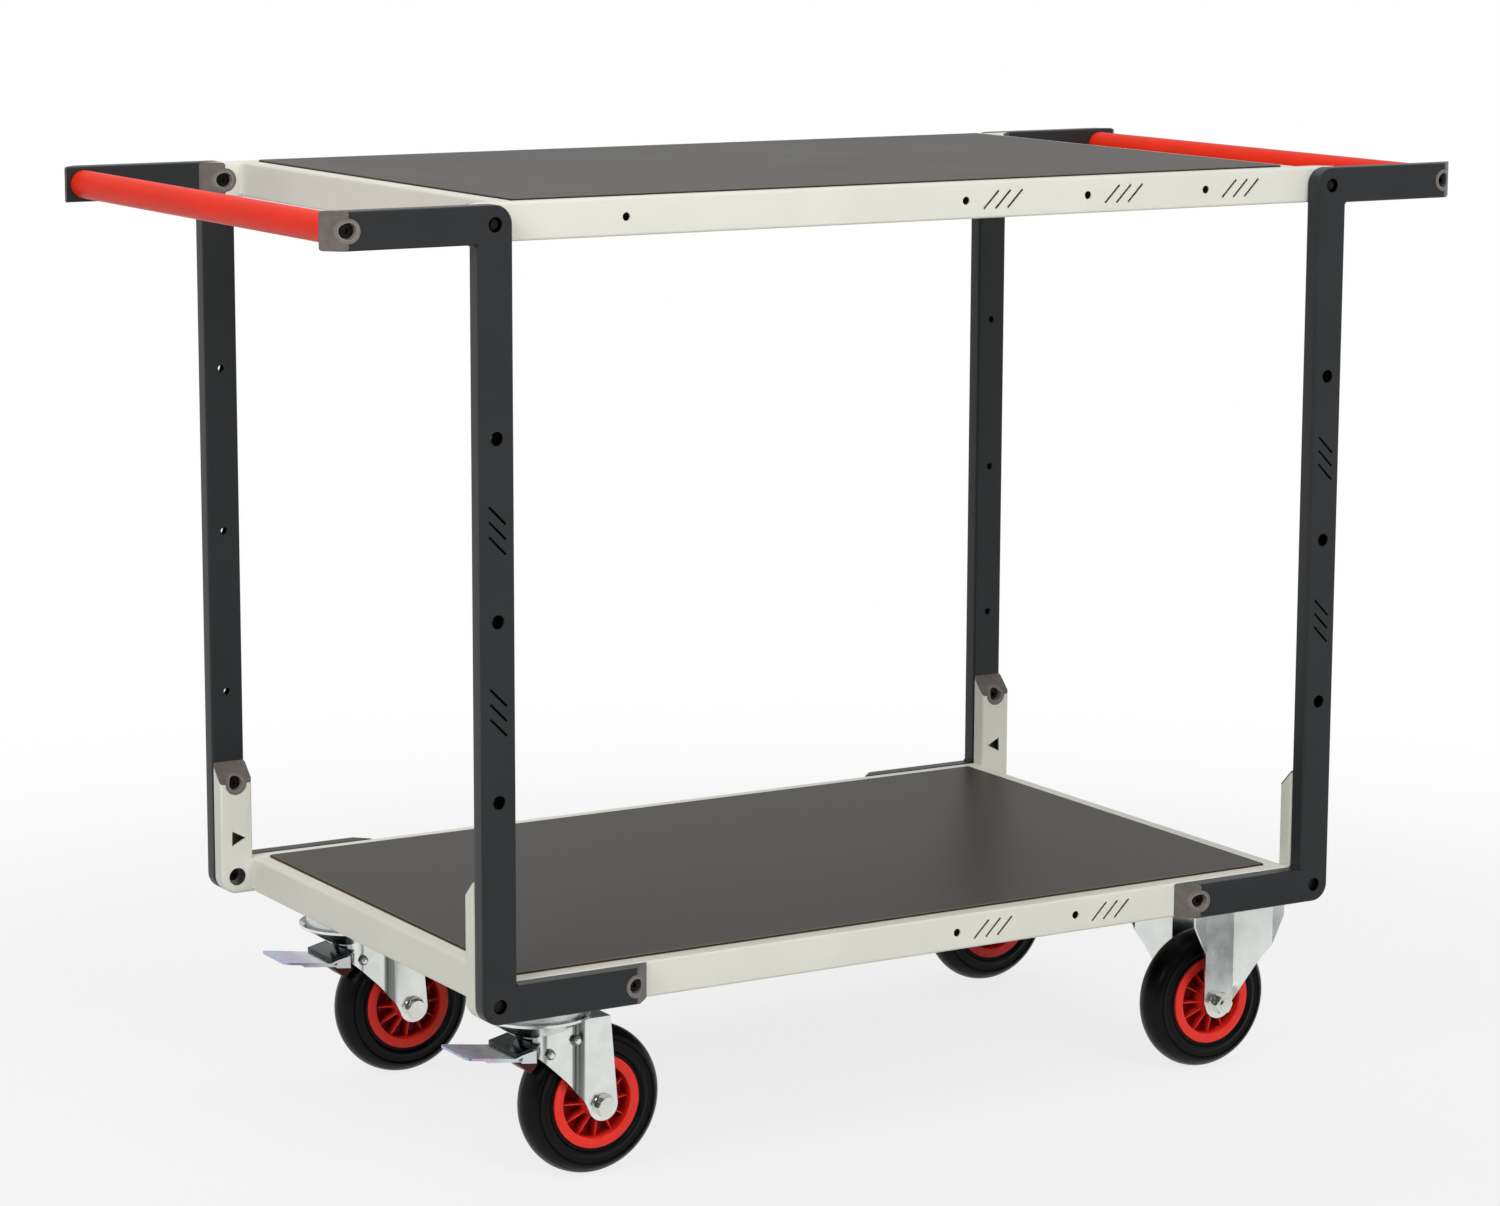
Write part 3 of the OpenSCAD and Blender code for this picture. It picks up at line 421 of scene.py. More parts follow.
def cap_finish():
    """Taupe plastic; the moulded ring round a screw's recess and its lip get a paler painted highlight."""
    f = Finish("taupe_cap_plastic", IOR=1.5, Specular_IOR_Level=0.35)
    x, _, z = f.parts()
    gaps = []
    for along, height in SCREWS:
        gaps.append(f.node("VectorMath", {0: f.node("CombineXYZ", {0: abs(x) - along, 1: z - height})},
                           out="Value", operation="LENGTH"))
    near = gaps[0]
    for gap in gaps[1:]:
        near = f.node("Math", {0: near, 1: gap}, operation="MINIMUM")
    # Painted highlight: inside the recess and on its lip the taupe is mixed paler.
    disc = 1 - f.step(near, RECESS_R - 0.3 * MM, RECESS_R + 0.3 * MM)
    lip_highlight = 1 - f.step(abs(near - LIP_R), 1.2 * MM, 1.8 * MM)
    flow = f.noise(FLOW_SIZE, 3)
    shade = f.mix(f.step(flow, 0.3, 0.7), paint(94, 87, 84), paint(106, 99, 95))
    return f.use(Base_Color=f.mix((disc + lip_highlight * 0.35) * 0.6, shade, paint(158, 152, 147)),
                 Roughness=0.43 + flow * 0.14,
                 Normal=f.bump(f.noise(GRAIN_SIZE, 2), GRAIN_DEPTH, MOULD_EDGE))


cap_plastic = cap_finish()
print("screw recesses:", len(SCREWS), "kinds")

# %% [markdown]
# ## Dress the solids
# A solid whose shape is right only gets its finish, by its material slots: nothing in its mesh is
# touched. The list goes from name beginnings to finishes, so that the four equal side members or
# the four tyres need one line.

# %% Finishes by name
COATS = {
    "side_frame": frame_coat, "handle_bar_left": bar_coat, "handle_bar_right": bar_coat,
    "handle_bar_plugs": plate_zinc, "frame_end_caps": cap_plastic, "shelf_end_caps": cap_plastic,
    "frame_screws": black_oxide, "corner_screws": black_oxide, "threaded_inserts": black_oxide,
    "upper_rail": shelf_coat, "lower_rail": shelf_coat, "deck_ledges": shelf_coat,
    "castor_channels": shelf_coat, "upper_deck": deck_film["upper_deck"],
    "lower_deck": deck_film["lower_deck"], "deck_screws": bolt_zinc, "castor_bolts": bolt_zinc,
    "top_plate": plate_zinc, "kingpin": plate_zinc, "swivel_fork": leg_zinc, "fixed_fork": fork_zinc,
    "axle_sleeve": plate_zinc, "axle": bolt_zinc, "fixed_axle_sleeves": plate_zinc,
    "fixed_axles": bolt_zinc, "brake_bolts": bolt_zinc, "brake_pedal": tread_zinc,
    "release_plate": release_black, "brake_shoe": shoe_plastic, "tyre": tyre_rubber,
    "rim": rim_plastic, "roller_cage": cage_nylon,
}


def finish_of(node):
    """The finish whose key is the longest beginning of the node's name."""
    keys = [k for k in COATS if node.startswith(k)]
    return COATS[max(keys, key=len)]


for name, solid in nodes.items():
    for spot in solid.material_slots:
        spot.material = finish_of(name)
print("dressed", len(nodes), "solids")

# %% [markdown]
# ## Finer copies
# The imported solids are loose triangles. A copy whose doubles are merged can be shaded smoothly
# across its curves and kept crisp at its edges, which suits bent sheet and round bars. The copy then
# stands for the solid, which stays hidden for the physics.

# %% Copy, merge and shade
def stand_in(piece, body, slot, *solids):
    """Puts a finished piece on its body in place of some solids."""
    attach(piece, body)
    if solids:
        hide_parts(*solids)
    return piece


def body_of(node):
    return next(b for b, members in frame["record"]["behaviour"]["bodies"].items() if node in members)


def mesh_piece(name, mesh, finish, angle=30):
    """An object at the origin with smooth faces and sharp edges above that angle."""
    mesh.shade_smooth()
    mesh.set_sharp_from_angle(angle=math.radians(angle))
    mesh.materials.clear()
    mesh.materials.append(finish)
    piece = bpy.data.objects.new(name, mesh)
    bpy.context.scene.collection.objects.link(piece)
    return piece


def finer(node, slot):
    shape = bmesh.new()
    shape.from_mesh(nodes[node].data)
    bmesh.ops.remove_doubles(shape, verts=shape.verts, dist=1e-6)
    mesh = bpy.data.meshes.new(node + "_smooth")
    shape.to_mesh(mesh)
    shape.free()
    if "custom_normal" in mesh.attributes:
        mesh.attributes.remove(mesh.attributes["custom_normal"])
    piece = mesh_piece(node + "_smooth", mesh, finish_of(node))
    return stand_in(piece, body_of(node), slot, node)


print("copy tools ready")

# %% [markdown]
# ## Stage and light
# The photograph is a cut-out on white. The floor takes a soft shadow, but for the camera and for
# reflections it is mostly plain white, and wholly so further out, so no extra light falls on the
# cart. Bright metal looks like metal only when it has something dark to reflect: two black cards lie
# in front of the castors, seen by reflections alone.

# %% Floor with cards
CARDS = (((-0.66, -0.92), (0.20, 0.42)), ((0.76, -0.80), (0.22, 0.30)))
SHADOW_END, WHITE_START = 0.9, 2.2
WHITE = (1, 1, 1, 1)


def black_card(f, x, y, place, size):
    """1 on a soft-edged card lying on the floor, 0 beside it."""
    across = f.node("Math", {0: abs(x - place[0]) / size[0], 1: abs(y - place[1]) / size[1]},
                    operation="MAXIMUM")
    return 1 - f.step(across, 0.7, 1.0)


def floor_finish():
    f = Finish("pale_floor", Base_Color=paint(206, 206, 205), Roughness=0.9)
    x, y, _ = f.parts()
    far = f.step(f.node("Math", {0: x * x + y * y}, operation="SQRT"), SHADOW_END, WHITE_START)
    path = f.node("LightPath").socket.node
    camera_ray, glossy_ray = (Value(f, path.outputs[n]) for n in ("Is Camera Ray", "Is Glossy Ray"))
    seen = f.node("Math", {0: camera_ray, 1: glossy_ray}, operation="MAXIMUM")
    white = f.node("Emission", {"Color": WHITE, "Strength": 1.0})
    dark = f.node("Emission", {"Color": WHITE, "Strength": 0.03})
    lit = Value(f, f.shader.outputs[0])
    pale = f.node("MixShader", {0: seen * (0.80 + far * 0.20), 1: lit, 2: white})
    left_card, right_card = (black_card(f, x, y, place, size) for place, size in CARDS)
    both = f.node("MixShader", {0: (left_card + right_card) * glossy_ray * 0.9, 1: pale, 2: dark})
    f.tree.links.new(both.socket, f.tree.nodes["Material Output"].inputs["Surface"])
    return f.material


FLOOR_REACH = 20
corners = [(FLOOR_REACH * i, FLOOR_REACH * j, 0) for i, j in ((-1, -1), (1, -1), (1, 1), (-1, 1))]
plane = bpy.data.meshes.new("floor")
plane.from_pydata(corners, [], [(0, 1, 2, 3)])
plane.materials.append(floor_finish())
floor = bpy.data.objects.new("floor", plane)
bpy.context.scene.collection.objects.link(floor)
print("floor laid, with", len(CARDS), "cards")

# %% [markdown]
# ## Room
# The camera sees plain white all round. What lights the cart is a dimmer, slightly blue sky, so that
# its colours come out about as painted. Mirrors see a third room, white on most sides and dark behind
# the camera, as in a studio. A Light Path node tells these rays apart, inside the world's own shader.

# %% Room
sky = bpy.data.worlds.new("studio")
sky.use_nodes = True
bpy.context.scene.world = sky
air = sky.node_tree


def room_light(colour, strength):
    made = air.nodes.new("ShaderNodeBackground")
    made.inputs["Color"].default_value, made.inputs["Strength"].default_value = colour, strength
    return made.outputs[0]


def either(factor, a, b):
    made = air.nodes.new("ShaderNodeMixShader")
    for socket, value in zip(made.inputs, (factor, a, b)):
        air.links.new(value, socket)
    return made.outputs[0]


rays = air.nodes.new("ShaderNodeLightPath").outputs
towards = air.nodes.new("ShaderNodeVectorMath")
towards.operation = "DOT_PRODUCT"
air.links.new(air.nodes.new("ShaderNodeTexCoord").outputs["Generated"], towards.inputs[0])
towards.inputs[1].default_value = back
behind_camera = air.nodes.new("ShaderNodeMapRange")
behind_camera.interpolation_type = "SMOOTHSTEP"
air.links.new(towards.outputs["Value"], behind_camera.inputs["Value"])
behind_camera.inputs["From Min"].default_value = 0.55
behind_camera.inputs["From Max"].default_value = 0.9
mirrored = either(behind_camera.outputs[0], room_light(WHITE, 0.8), room_light(WHITE, 0.06))
lit = either(rays["Is Glossy Ray"], room_light((0.95, 0.97, 1, 1), 0.27), mirrored)
shown = either(rays["Is Camera Ray"], lit, room_light(WHITE, 1.0))
air.links.new(shown, air.nodes["World Output"].inputs["Surface"])
print("room: white for the camera, dimmer for light")

# %% [markdown]
# ## Lamps
# One broad lamp stands high at the left, where the frame's faces are lightest. A second one in front
# fills in. It is hidden from mirrors, because from behind the cart its glare would lie on both decks.
# A third lamp overhead lifts the decks and the rails' tops.

# %% Lamps
def softbox(name, place, aim, size, power, mirrored=True):
    lamp = bpy.data.lights.new(name, "AREA")
    lamp.shape, lamp.size, lamp.size_y, lamp.energy = "RECTANGLE", size[0], size[1], power
    stand = bpy.data.objects.new(name, lamp)
    stand.rotation_euler = (Vector(aim) - Vector(place)).to_track_quat("-Z", "Y").to_euler()
    stand.location = place
    stand.visible_glossy = mirrored
    bpy.context.scene.collection.objects.link(stand)


softbox("left_softbox", (-3.4, -1.9, 3.2), (-0.2, 0, 0.6), (2.2, 2.2), 100)
softbox("front_softbox", (0.4, -5.2, 2.8), (0, 0, 0.4), (2.6, 2.2), 140, mirrored=False)
softbox("top_softbox", (0.2, 1.8, 4.4), (0, 0, 0.6), (3.0, 1.6), 52)
print("lamps:", [lamp.name for lamp in bpy.data.lights])

# %% [markdown]
# ## Geometry Nodes recipes
# Bolt heads, nuts, ribs, threads and welds repeat, so each gets a small Geometry Nodes tree with
# named sizes. The tree runs on a set of points, or on lines, and its result is kept as a plain mesh:
# the exported model has no modifiers. Copies made in Python would do too, but a tree can be opened
# and its sizes tried.

# %% A recipe
class Recipe:
    """A Geometry Nodes tree with named inputs. make() runs it and keeps the mesh."""

    def __init__(self, name, finish, crisp=30, **sizes):
        self.crisp = crisp
        self.tree = bpy.data.node_groups.new(name, "GeometryNodeTree")
        sockets = self.tree.interface
        sockets.new_socket("Geometry", in_out="INPUT", socket_type="NodeSocketGeometry")
        sockets.new_socket("Geometry", in_out="OUTPUT", socket_type="NodeSocketGeometry")
        self.known, self.finish = {}, finish
        for label, value in sizes.items():
            kind = "NodeSocketInt" if isinstance(value, int) else "NodeSocketFloat"
            socket = sockets.new_socket(label, in_out="INPUT", socket_type=kind)
            socket.default_value = value
            self.known[label] = socket.identifier
        self.given = self.tree.nodes.new("NodeGroupInput").outputs

    def node(self, kind, inputs=None, out=0, **settings):
        made = self.tree.nodes.new(kind)
        for key, value in settings.items():
            setattr(made, key, value)
        for key, value in (inputs or {}).items():
            if isinstance(value, bpy.types.NodeSocket):
                self.tree.links.new(value, made.inputs[key])
            else:
                made.inputs[key].default_value = value
        return made.outputs[out]

    def maths(self, kind, a, b):
        return self.node("ShaderNodeMath", {0: a, 1: b}, operation=kind)

    def turned(self):
        """The rotation kept on each point."""
        kept = self.node("GeometryNodeInputNamedAttribute", {"Name": "turn"}, data_type="FLOAT_VECTOR")
        return self.node("FunctionNodeEulerToRotation", {0: kept})

    def end(self, geometry):
        real = self.node("GeometryNodeRealizeInstances", {"Geometry": geometry})
        done = self.node("GeometryNodeSetMaterial", {"Geometry": real, "Material": self.finish})
        self.tree.links.new(done, self.tree.nodes.new("NodeGroupOutput").inputs[0])
        return self

    def make(self, name, points, turns=None, edges=(), **sizes):
        base = bpy.data.meshes.new(name + "_points")
        base.from_pydata([tuple(p) for p in points], list(edges), [])
        if turns:
            kept = base.attributes.new("turn", "FLOAT_VECTOR", "POINT")
            kept.data.foreach_set("vector", [v for t in turns for v in t])
        holder = bpy.data.objects.new(name, base)
        bpy.context.scene.collection.objects.link(holder)
        layer = holder.modifiers.new("recipe", "NODES")
        layer.node_group = self.tree
        for label, value in sizes.items():
            layer[self.known[label]] = value
        ready = holder.evaluated_get(bpy.context.evaluated_depsgraph_get())
        mesh = bpy.data.meshes.new_from_object(ready)
        bpy.data.objects.remove(holder)
        piece = mesh_piece(name, mesh, self.finish, self.crisp)
        print(name, len(mesh.vertices), "vertices")
        return piece


print("recipe tools ready")

# %% [markdown]
# ## Wheels
# Each wheel is a moulded red rim with twelve thin ribs a side and a black rubber tyre pressed on to
# it. Tyre and rim are bodies of revolution: an outline of radius and place across is turned about
# the axle. A Screw modifier would do it, but a short function closes the form and puts it in place.

# %% Turning an outline about the axle
def lathe(outline, centre, turns=128):
    """A closed outline of (radius, across) in mm, turned about an axle along Y."""
    shape = bmesh.new()
    rings = []
    for k in range(turns):
        c, s = math.cos(2 * math.pi * k / turns), math.sin(2 * math.pi * k / turns)
        rings.append([shape.verts.new((centre.x + r * c * MM, centre.y + y * MM, centre.z + r * s * MM))
                      for r, y in outline])
    for k in range(turns):
        a, b = rings[k], rings[(k + 1) % turns]
        for i in range(len(outline)):
            j = (i + 1) % len(outline)
            shape.faces.new((a[i], a[j], b[j], b[i]))
    bmesh.ops.recalc_face_normals(shape, faces=shape.faces)
    mesh = bpy.data.meshes.new("turned")
    shape.to_mesh(mesh)
    shape.free()
    return mesh


def both_sides(half):
    """The outline's half at positive y, then its mirror image."""
    return half + [(r, -y) for r, y in reversed(half) if y > 1e-6]


print("lathe ready")

# %% [markdown]
# ## Tyres
# The real tyre has a rounded bead at the rim, a shallow hollow in its side, a step, and a crowned
# tread with a fine groove and a mould line. These few lines are what makes rubber look moulded. The
# side is a chain of points in millimetres, each out from the axle and across, and the crown is an arc.

# %% Tyres
TREAD_R, TYRE_R = 23.0, 80.0
GROOVE_DIP, MOULD_LINE = 0.45, 0.12
bead = [(50.05, 14.0), (50.05, 17.6), (50.6, 16.8), (51.6, 16.4), (53.0, 16.6), (54.2, 17.5),
        (55.0, 18.7), (55.8, 19.5), (56.8, 19.9), (57.8, 19.8), (59.0, 19.2), (60.8, 18.5),
        (63.0, 18.4), (64.6, 18.9), (65.4, 18.9), (65.9, 18.0), (66.6, 17.5), (67.3, 17.8),
        (67.8, 18.8), (68.4, 19.2)]
crown = []
for across in (18.6, 17.4, 16.0, 14.5, 13.4, 13.1, 12.6, 12.3, 11.0, 9.0, 7.0, 5.0, 3.2, 1.8, 0.6, 0.0):
    radius = TYRE_R - TREAD_R + math.sqrt(TREAD_R ** 2 - across ** 2)
    dip = GROOVE_DIP if 12.5 < across < 13.2 else 0
    crown.append((radius - dip - (MOULD_LINE if across > 0.3 else 0), across))
tyre_outline = both_sides(bead + crown)
for corner, at in AXLE.items():
    tyre = mesh_piece("moulded_tyre_" + corner, lathe(tyre_outline, at), tyre_rubber, 24)
    stand_in(tyre, "wheel_" + corner, "tyre", "tyre_" + corner)
print("tyre outline:", len(tyre_outline), "points")

# %% [markdown]
# ## The rim's ribs
# The ribs are one thin tapered blade, twelve times round each side. This tree shapes the blade from a
# block of one unit: it is stretched from the hub to the barrel, its free edge slopes down outwards,
# and it gets thinner towards that edge.

# %% One rib
blade = Recipe("rim_ribs", rim_plastic, count=12, inner=16.5 * MM, outer=39.0 * MM, thick=2.0 * MM,
               web=1.5 * MM, high=20.0 * MM, low=14.0 * MM)
span = blade.maths("SUBTRACT", blade.given["outer"], blade.given["inner"])
block = blade.node("GeometryNodeMeshCube", {"Size": (1, 1, 1), "Vertices X": 5, "Vertices Y": 2,
                                            "Vertices Z": 2})
here = blade.node("GeometryNodeInputPosition")
split = blade.node("ShaderNodeSeparateXYZ", {0: here}).node.outputs
along = blade.maths("ADD", split[0], 0.5)
raised = blade.maths("ADD", split[1], 0.5)
fall = blade.maths("SUBTRACT", blade.given["high"], blade.given["low"])
top = blade.maths("SUBTRACT", blade.given["high"], blade.maths("MULTIPLY", fall, along))
height = blade.maths("ADD", blade.given["web"],
                     blade.maths("MULTIPLY", raised, blade.maths("SUBTRACT", top, blade.given["web"])))
taper = blade.maths("SUBTRACT", 1.0, blade.maths("MULTIPLY", raised, 0.3))
place = blade.node("ShaderNodeCombineXYZ", {
    0: blade.maths("ADD", blade.given["inner"], blade.maths("MULTIPLY", along, span)), 1: height,
    2: blade.maths("MULTIPLY", blade.maths("MULTIPLY", split[2], blade.given["thick"]), taper)})
blade_mesh = blade.node("GeometryNodeSetPosition", {"Geometry": block, "Position": place})
print("rib sizes:", sorted(blade.known))

# %% [markdown]
# ## Twelve ribs on each side
# The same tree goes on: the blade is set round the axle by the number of its copy, and the whole ring
# is turned over for the wheel's other side. So a change of the count or the thickness is one input.

# %% Ribs round the axle
spots = blade.node("GeometryNodeMeshLine", {"Count": blade.given["count"], "Offset": (0, 0, 0)})
number = blade.node("GeometryNodeInputIndex")
angle = blade.maths("DIVIDE", blade.maths("MULTIPLY", number, math.tau), blade.given["count"])
spin = blade.node("FunctionNodeEulerToRotation", {0: blade.node("ShaderNodeCombineXYZ", {1: angle})})
ring = blade.node("GeometryNodeInstanceOnPoints", {"Points": spots, "Instance": blade_mesh,
                                                   "Rotation": spin})
other = blade.node("GeometryNodeTransform", {"Geometry": ring, "Rotation": (0, 0, math.pi)})
pair = blade.node("GeometryNodeJoinGeometry")
blade.tree.links.new(ring, pair.node.inputs[0])
blade.tree.links.new(other, pair.node.inputs[0])
both_rings = {"Points": blade.given["Geometry"], "Instance": pair}
blade.end(blade.node("GeometryNodeInstanceOnPoints", both_rings))
print("rib tree:", len(blade.tree.nodes), "nodes")

# %% [markdown]
# ## Rims
# A rim is a hub, a thin web in the middle plane and a barrel with a flat outer ring. Its outline goes
# from the bore outwards along one side and comes back along the other.

# %% Rims
rim_outline = both_sides([
    (12.2, 27.9), (15.4, 27.9), (16.4, 27.2), (16.8, 24.0), (17.2, 8.0), (18.0, 4.0), (20.0, 2.3),
    (23.0, 2.0), (34.0, 2.0), (37.0, 2.4), (38.2, 4.2), (38.6, 7.0), (39.2, 18.6), (39.5, 19.5),
    (40.2, 19.9), (49.0, 19.9), (49.6, 19.6), (49.9, 18.9), (49.9, 16.0), (49.9, 6.2), (51.9, 5.8)])
for corner, at in AXLE.items():
    turned = mesh_piece("moulded_rim_" + corner, lathe(rim_outline, at), rim_plastic)
    stand_in(turned, "wheel_" + corner, "rim", "rim_" + corner)
    stand_in(blade.make("rim_ribs_" + corner, [at]), "wheel_" + corner, "rim")

# %% [markdown]
# ## Bolts, nuts and washers
# A bolt head and a nut are the same form: a hexagonal prism whose corners were turned off under 30
# degrees, which leaves six arcs on its sides. A tree shapes one from a 72-sided drum: each point
# moves out to the hexagon, and its upper edge drops by as much as it lies outside the turned circle.

# %% A hexagon with turned corners
TURNED_TO = 0.95


def hexagon_recipe(finish):
    r = Recipe("hexagons_" + finish.name, finish, crisp=18, flat=10 * MM, height=8 * MM)
    drum = r.node("GeometryNodeMeshCylinder", {"Vertices": 72, "Side Segments": 2, "Radius": 1.0,
                                               "Depth": 2.0})
    spot = r.node("ShaderNodeSeparateXYZ", {0: r.node("GeometryNodeInputPosition")}).node.outputs
    angle = r.maths("ADD", r.maths("ARCTAN2", spot[1], spot[0]), math.tau)
    off = r.maths("SUBTRACT", r.maths("MODULO", angle, math.pi / 3), math.pi / 6)
    edge = r.maths("DIVIDE", r.given["flat"], r.maths("COSINE", off, 0.0))
    circle = r.maths("MULTIPLY", r.given["flat"], TURNED_TO)
    raised = r.maths("GREATER_THAN", spot[2], -0.5)
    top = r.maths("GREATER_THAN", spot[2], 0.5)
    beyond = r.maths("SUBTRACT", edge, circle)
    radius = r.maths("SUBTRACT", edge, r.maths("MULTIPLY", top, beyond))
    chamfer = r.maths("MULTIPLY", beyond, math.tan(math.pi / 6))
    drop = r.maths("MULTIPLY", r.maths("SUBTRACT", 1.0, top), chamfer)
    level = r.maths("MULTIPLY", raised, r.maths("SUBTRACT", r.given["height"], drop))
    reach = r.maths("SQRT", r.maths("ADD", r.maths("MULTIPLY", spot[0], spot[0]),
                                    r.maths("MULTIPLY", spot[1], spot[1])), 0.0)
    scale = r.maths("DIVIDE", radius, r.maths("MAXIMUM", reach, 0.0001))
    place = r.node("ShaderNodeCombineXYZ", {0: r.maths("MULTIPLY", spot[0], scale),
                                            1: r.maths("MULTIPLY", spot[1], scale), 2: level})
    prism = r.node("GeometryNodeSetPosition", {"Geometry": drum, "Position": place})
    spread = {"Points": r.given["Geometry"], "Instance": prism, "Rotation": r.turned()}
    return r.end(r.node("GeometryNodeInstanceOnPoints", spread))


print("hexagon recipe ready")

# %% [markdown]
# ## The cart's hexagons
# One tree serves all heads and nuts of a finish, because its sizes are inputs: from the middle to a
# flat, and the height. A hexagon grows upwards from its point, so a rotation kept on each point lays
# it on the front, on the back or under a plate.

# %% Heads and nuts
def hexagon_size(corners, height):
    """The tree's inputs for a hexagon so wide across its corners."""
    return {"flat": corners * math.cos(math.pi / 6) / 2, "height": height}


QUARTER = math.pi / 2
FRONTWARD, BACKWARD = (QUARTER, 0, 0), (-QUARTER, 0, 0)
UPWARD, DOWNWARD = (0, 0, 0), (math.pi, 0, 0)
AXLE_HEAD, AXLE_NUT = hexagon_size(23 * MM, 8 * MM), hexagon_size(23 * MM, 10 * MM)
PLATE_HEAD, PLATE_NUT = hexagon_size(15.2 * MM, 5.2 * MM), hexagon_size(15.2 * MM, 6.4 * MM)
NUT_CORNER = 5.75 * MM
BRAKE_NUT = hexagon_size(2 * NUT_CORNER, 4 * MM)
bright, dull = hexagon_recipe(bolt_zinc), hexagon_recipe(nut_zinc)
print("hexagons:", bright.tree.name, dull.tree.name)

# %% [markdown]
# ## Axle bolts
# An axle bolt's shank and its two washers are one turned piece, with a few thread grooves where its
# end shows past the nut. The swivel castors have their nuts at the back and the fixed ones at the
# front, as in the photograph, so the outline is written once, with a sign for the nut's side.

# %% Turned shanks and washers
def threads(radius, pitch, start, end):
    """Points of a threaded length, from start to end along the axle."""
    step = math.copysign(pitch / 2, end - start)
    count = int(abs(end - start) / abs(step))
    return [(radius - (0.3 * pitch if k % 2 else 0), start + k * step) for k in range(count)]


def axle_outline(n):
    """An axle bolt's shank and washers as (radius, across): the nut is at +Y or -Y, by n's sign."""
    tip = threads(6, 1.75, 45 * n, 46.2 * n)
    return [(0.01, -36 * n), (6, -36 * n), (6, -35.2 * n), (12.1, -35.0 * n), (12.5, -34.6 * n),
            (12.5, -33.0 * n), (6, -33.0 * n), (6, 33.0 * n), (12.5, 33.0 * n), (12.5, 34.6 * n),
            (12.1, 35.0 * n), (6, 35.2 * n)] + tip + [(5.9, 46.3 * n), (5.0, 47 * n), (0.01, 47 * n)]


def shank(corner, nut_side):
    outline = axle_outline(nut_side)
    return mesh_piece("axle_shank_" + corner, lathe(outline, AXLE[corner], 64), bolt_zinc, 35)


WASHER = Vector((0, 35 * MM, 0))
for corner in SWIVEL:
    at, swivel = AXLE[corner], "swivel_" + corner
    head = bright.make("axle_head_" + corner, [at - WASHER], [FRONTWARD], **AXLE_HEAD)
    nut = bright.make("axle_nut_" + corner, [at + WASHER], [BACKWARD], **AXLE_NUT)
    stand_in(head, swivel, "fastener", "axle_" + corner)
    stand_in(nut, swivel, "fastener")
    stand_in(shank(corner, 1), swivel, "fastener")

head = bright.make("fixed_axle_heads", [AXLE[c] + WASHER for c in FIXED], [BACKWARD] * 2, **AXLE_HEAD)
nut = bright.make("fixed_axle_nuts", [AXLE[c] - WASHER for c in FIXED], [FRONTWARD] * 2, **AXLE_NUT)
stand_in(head, "root", "fastener", "fixed_axles")
stand_in(nut, "root", "fastener")
for corner in FIXED:
    stand_in(shank(corner, -1), "root", "fastener")

# %% [markdown]
# ## Brake bolts
# The lever rocks on a bolt that goes right through the fork. Two short bolts sit a little higher
# towards the axle, one on each side. Each shows a dull nut with its thread standing out. The packed
# bolts say where: the lowest and the leftmost edge of that group belong to the pivot's nut.

# %% Brake bolts
LEG_FACE = Vector((0, 32 * MM, 0))
STUB_FROM_PIVOT = Vector((30.5, 0, 11)) * MM
for corner in SWIVEL:
    lo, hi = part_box("brake_bolts_" + corner)
    nut_flat = NUT_CORNER * math.cos(math.pi / 6)
    pivot = Vector((lo.x + NUT_CORNER, AXLE[corner].y, lo.z + nut_flat))
    short = pivot + STUB_FROM_PIVOT
    spots, turns = [], []
    for spot in (pivot, short):
        for side, turn in ((-1, FRONTWARD), (1, BACKWARD)):
            spots.append(spot + side * LEG_FACE)
            turns.append(turn)
    nuts = dull.make("brake_nuts_" + corner, spots, turns, **BRAKE_NUT)
    stand_in(nuts, "swivel_" + corner, "fastener", "brake_bolts_" + corner)
    end = threads(3, 1.0, 36, 38.6) + [(2.9, 38.7), (2.3, 39), (0.01, 39)]
    through = [(0.01, -39), (2.3, -39), (2.9, -38.7)] + [(r, -y) for r, y in reversed(end[:-3])] + end
    stub = [(0.01, 26), (3, 26)] + end
    front_stub = [(r, -y) for r, y in stub]
    for name, outline, spot in (("pivot", through, pivot), ("front_stub", front_stub, short),
                                ("back_stub", stub, short)):
        turned = mesh_piece("brake_%s_%s" % (name, corner), lathe(outline, spot, 32), bolt_zinc, 35)
        stand_in(turned, "swivel_" + corner, "fastener")
    print(corner, "pivot at", [round(v, 4) for v in pivot])

# %% [markdown]
# ## Castor bolts
# Four bolts hold each castor's plate under its channel. Their heads point down, and their nuts sit
# inside the channel. The two patterns are listed once: how far the plate's centre lies from the axle,
# the plate's thickness, and how far the bolts lie from its centre along and across.

# %% Castor bolts
PLATE_TOP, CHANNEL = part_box("fixed_fork_front_right")[1].z, 3 * MM
TRAIL = 61 * MM
PATTERNS = [(SWIVEL, TRAIL, 5 * MM, 52.5 * MM, 40 * MM), (FIXED, 0, 3 * MM, 16 * MM, 52 * MM)]
heads, nuts = [], []
for castors, offset, thick, reach_x, reach_y in PATTERNS:
    for corner in castors:
        for i in (-1, 1):
            for j in (-1, 1):
                x, y = AXLE[corner].x - offset + i * reach_x, AXLE[corner].y + j * reach_y
                heads.append((x, y, PLATE_TOP - thick))
                nuts.append((x, y, PLATE_TOP + CHANNEL))
below = bright.make("castor_bolt_heads", heads, [DOWNWARD] * len(heads), **PLATE_HEAD)
above = bright.make("castor_bolt_nuts", nuts, [UPWARD] * len(nuts), **PLATE_NUT)
stand_in(below, "root", "fastener", "castor_bolts")
stand_in(above, "root", "fastener")

# %% [markdown]
# ## Threaded ends
# A bolt's thread is a fine ripple along its length. Here a line becomes a tube whose radius follows a
# sine of the height, once for each turn of the pitch. A true helix would cost far more faces, and
# nobody could tell it apart inside the channel.

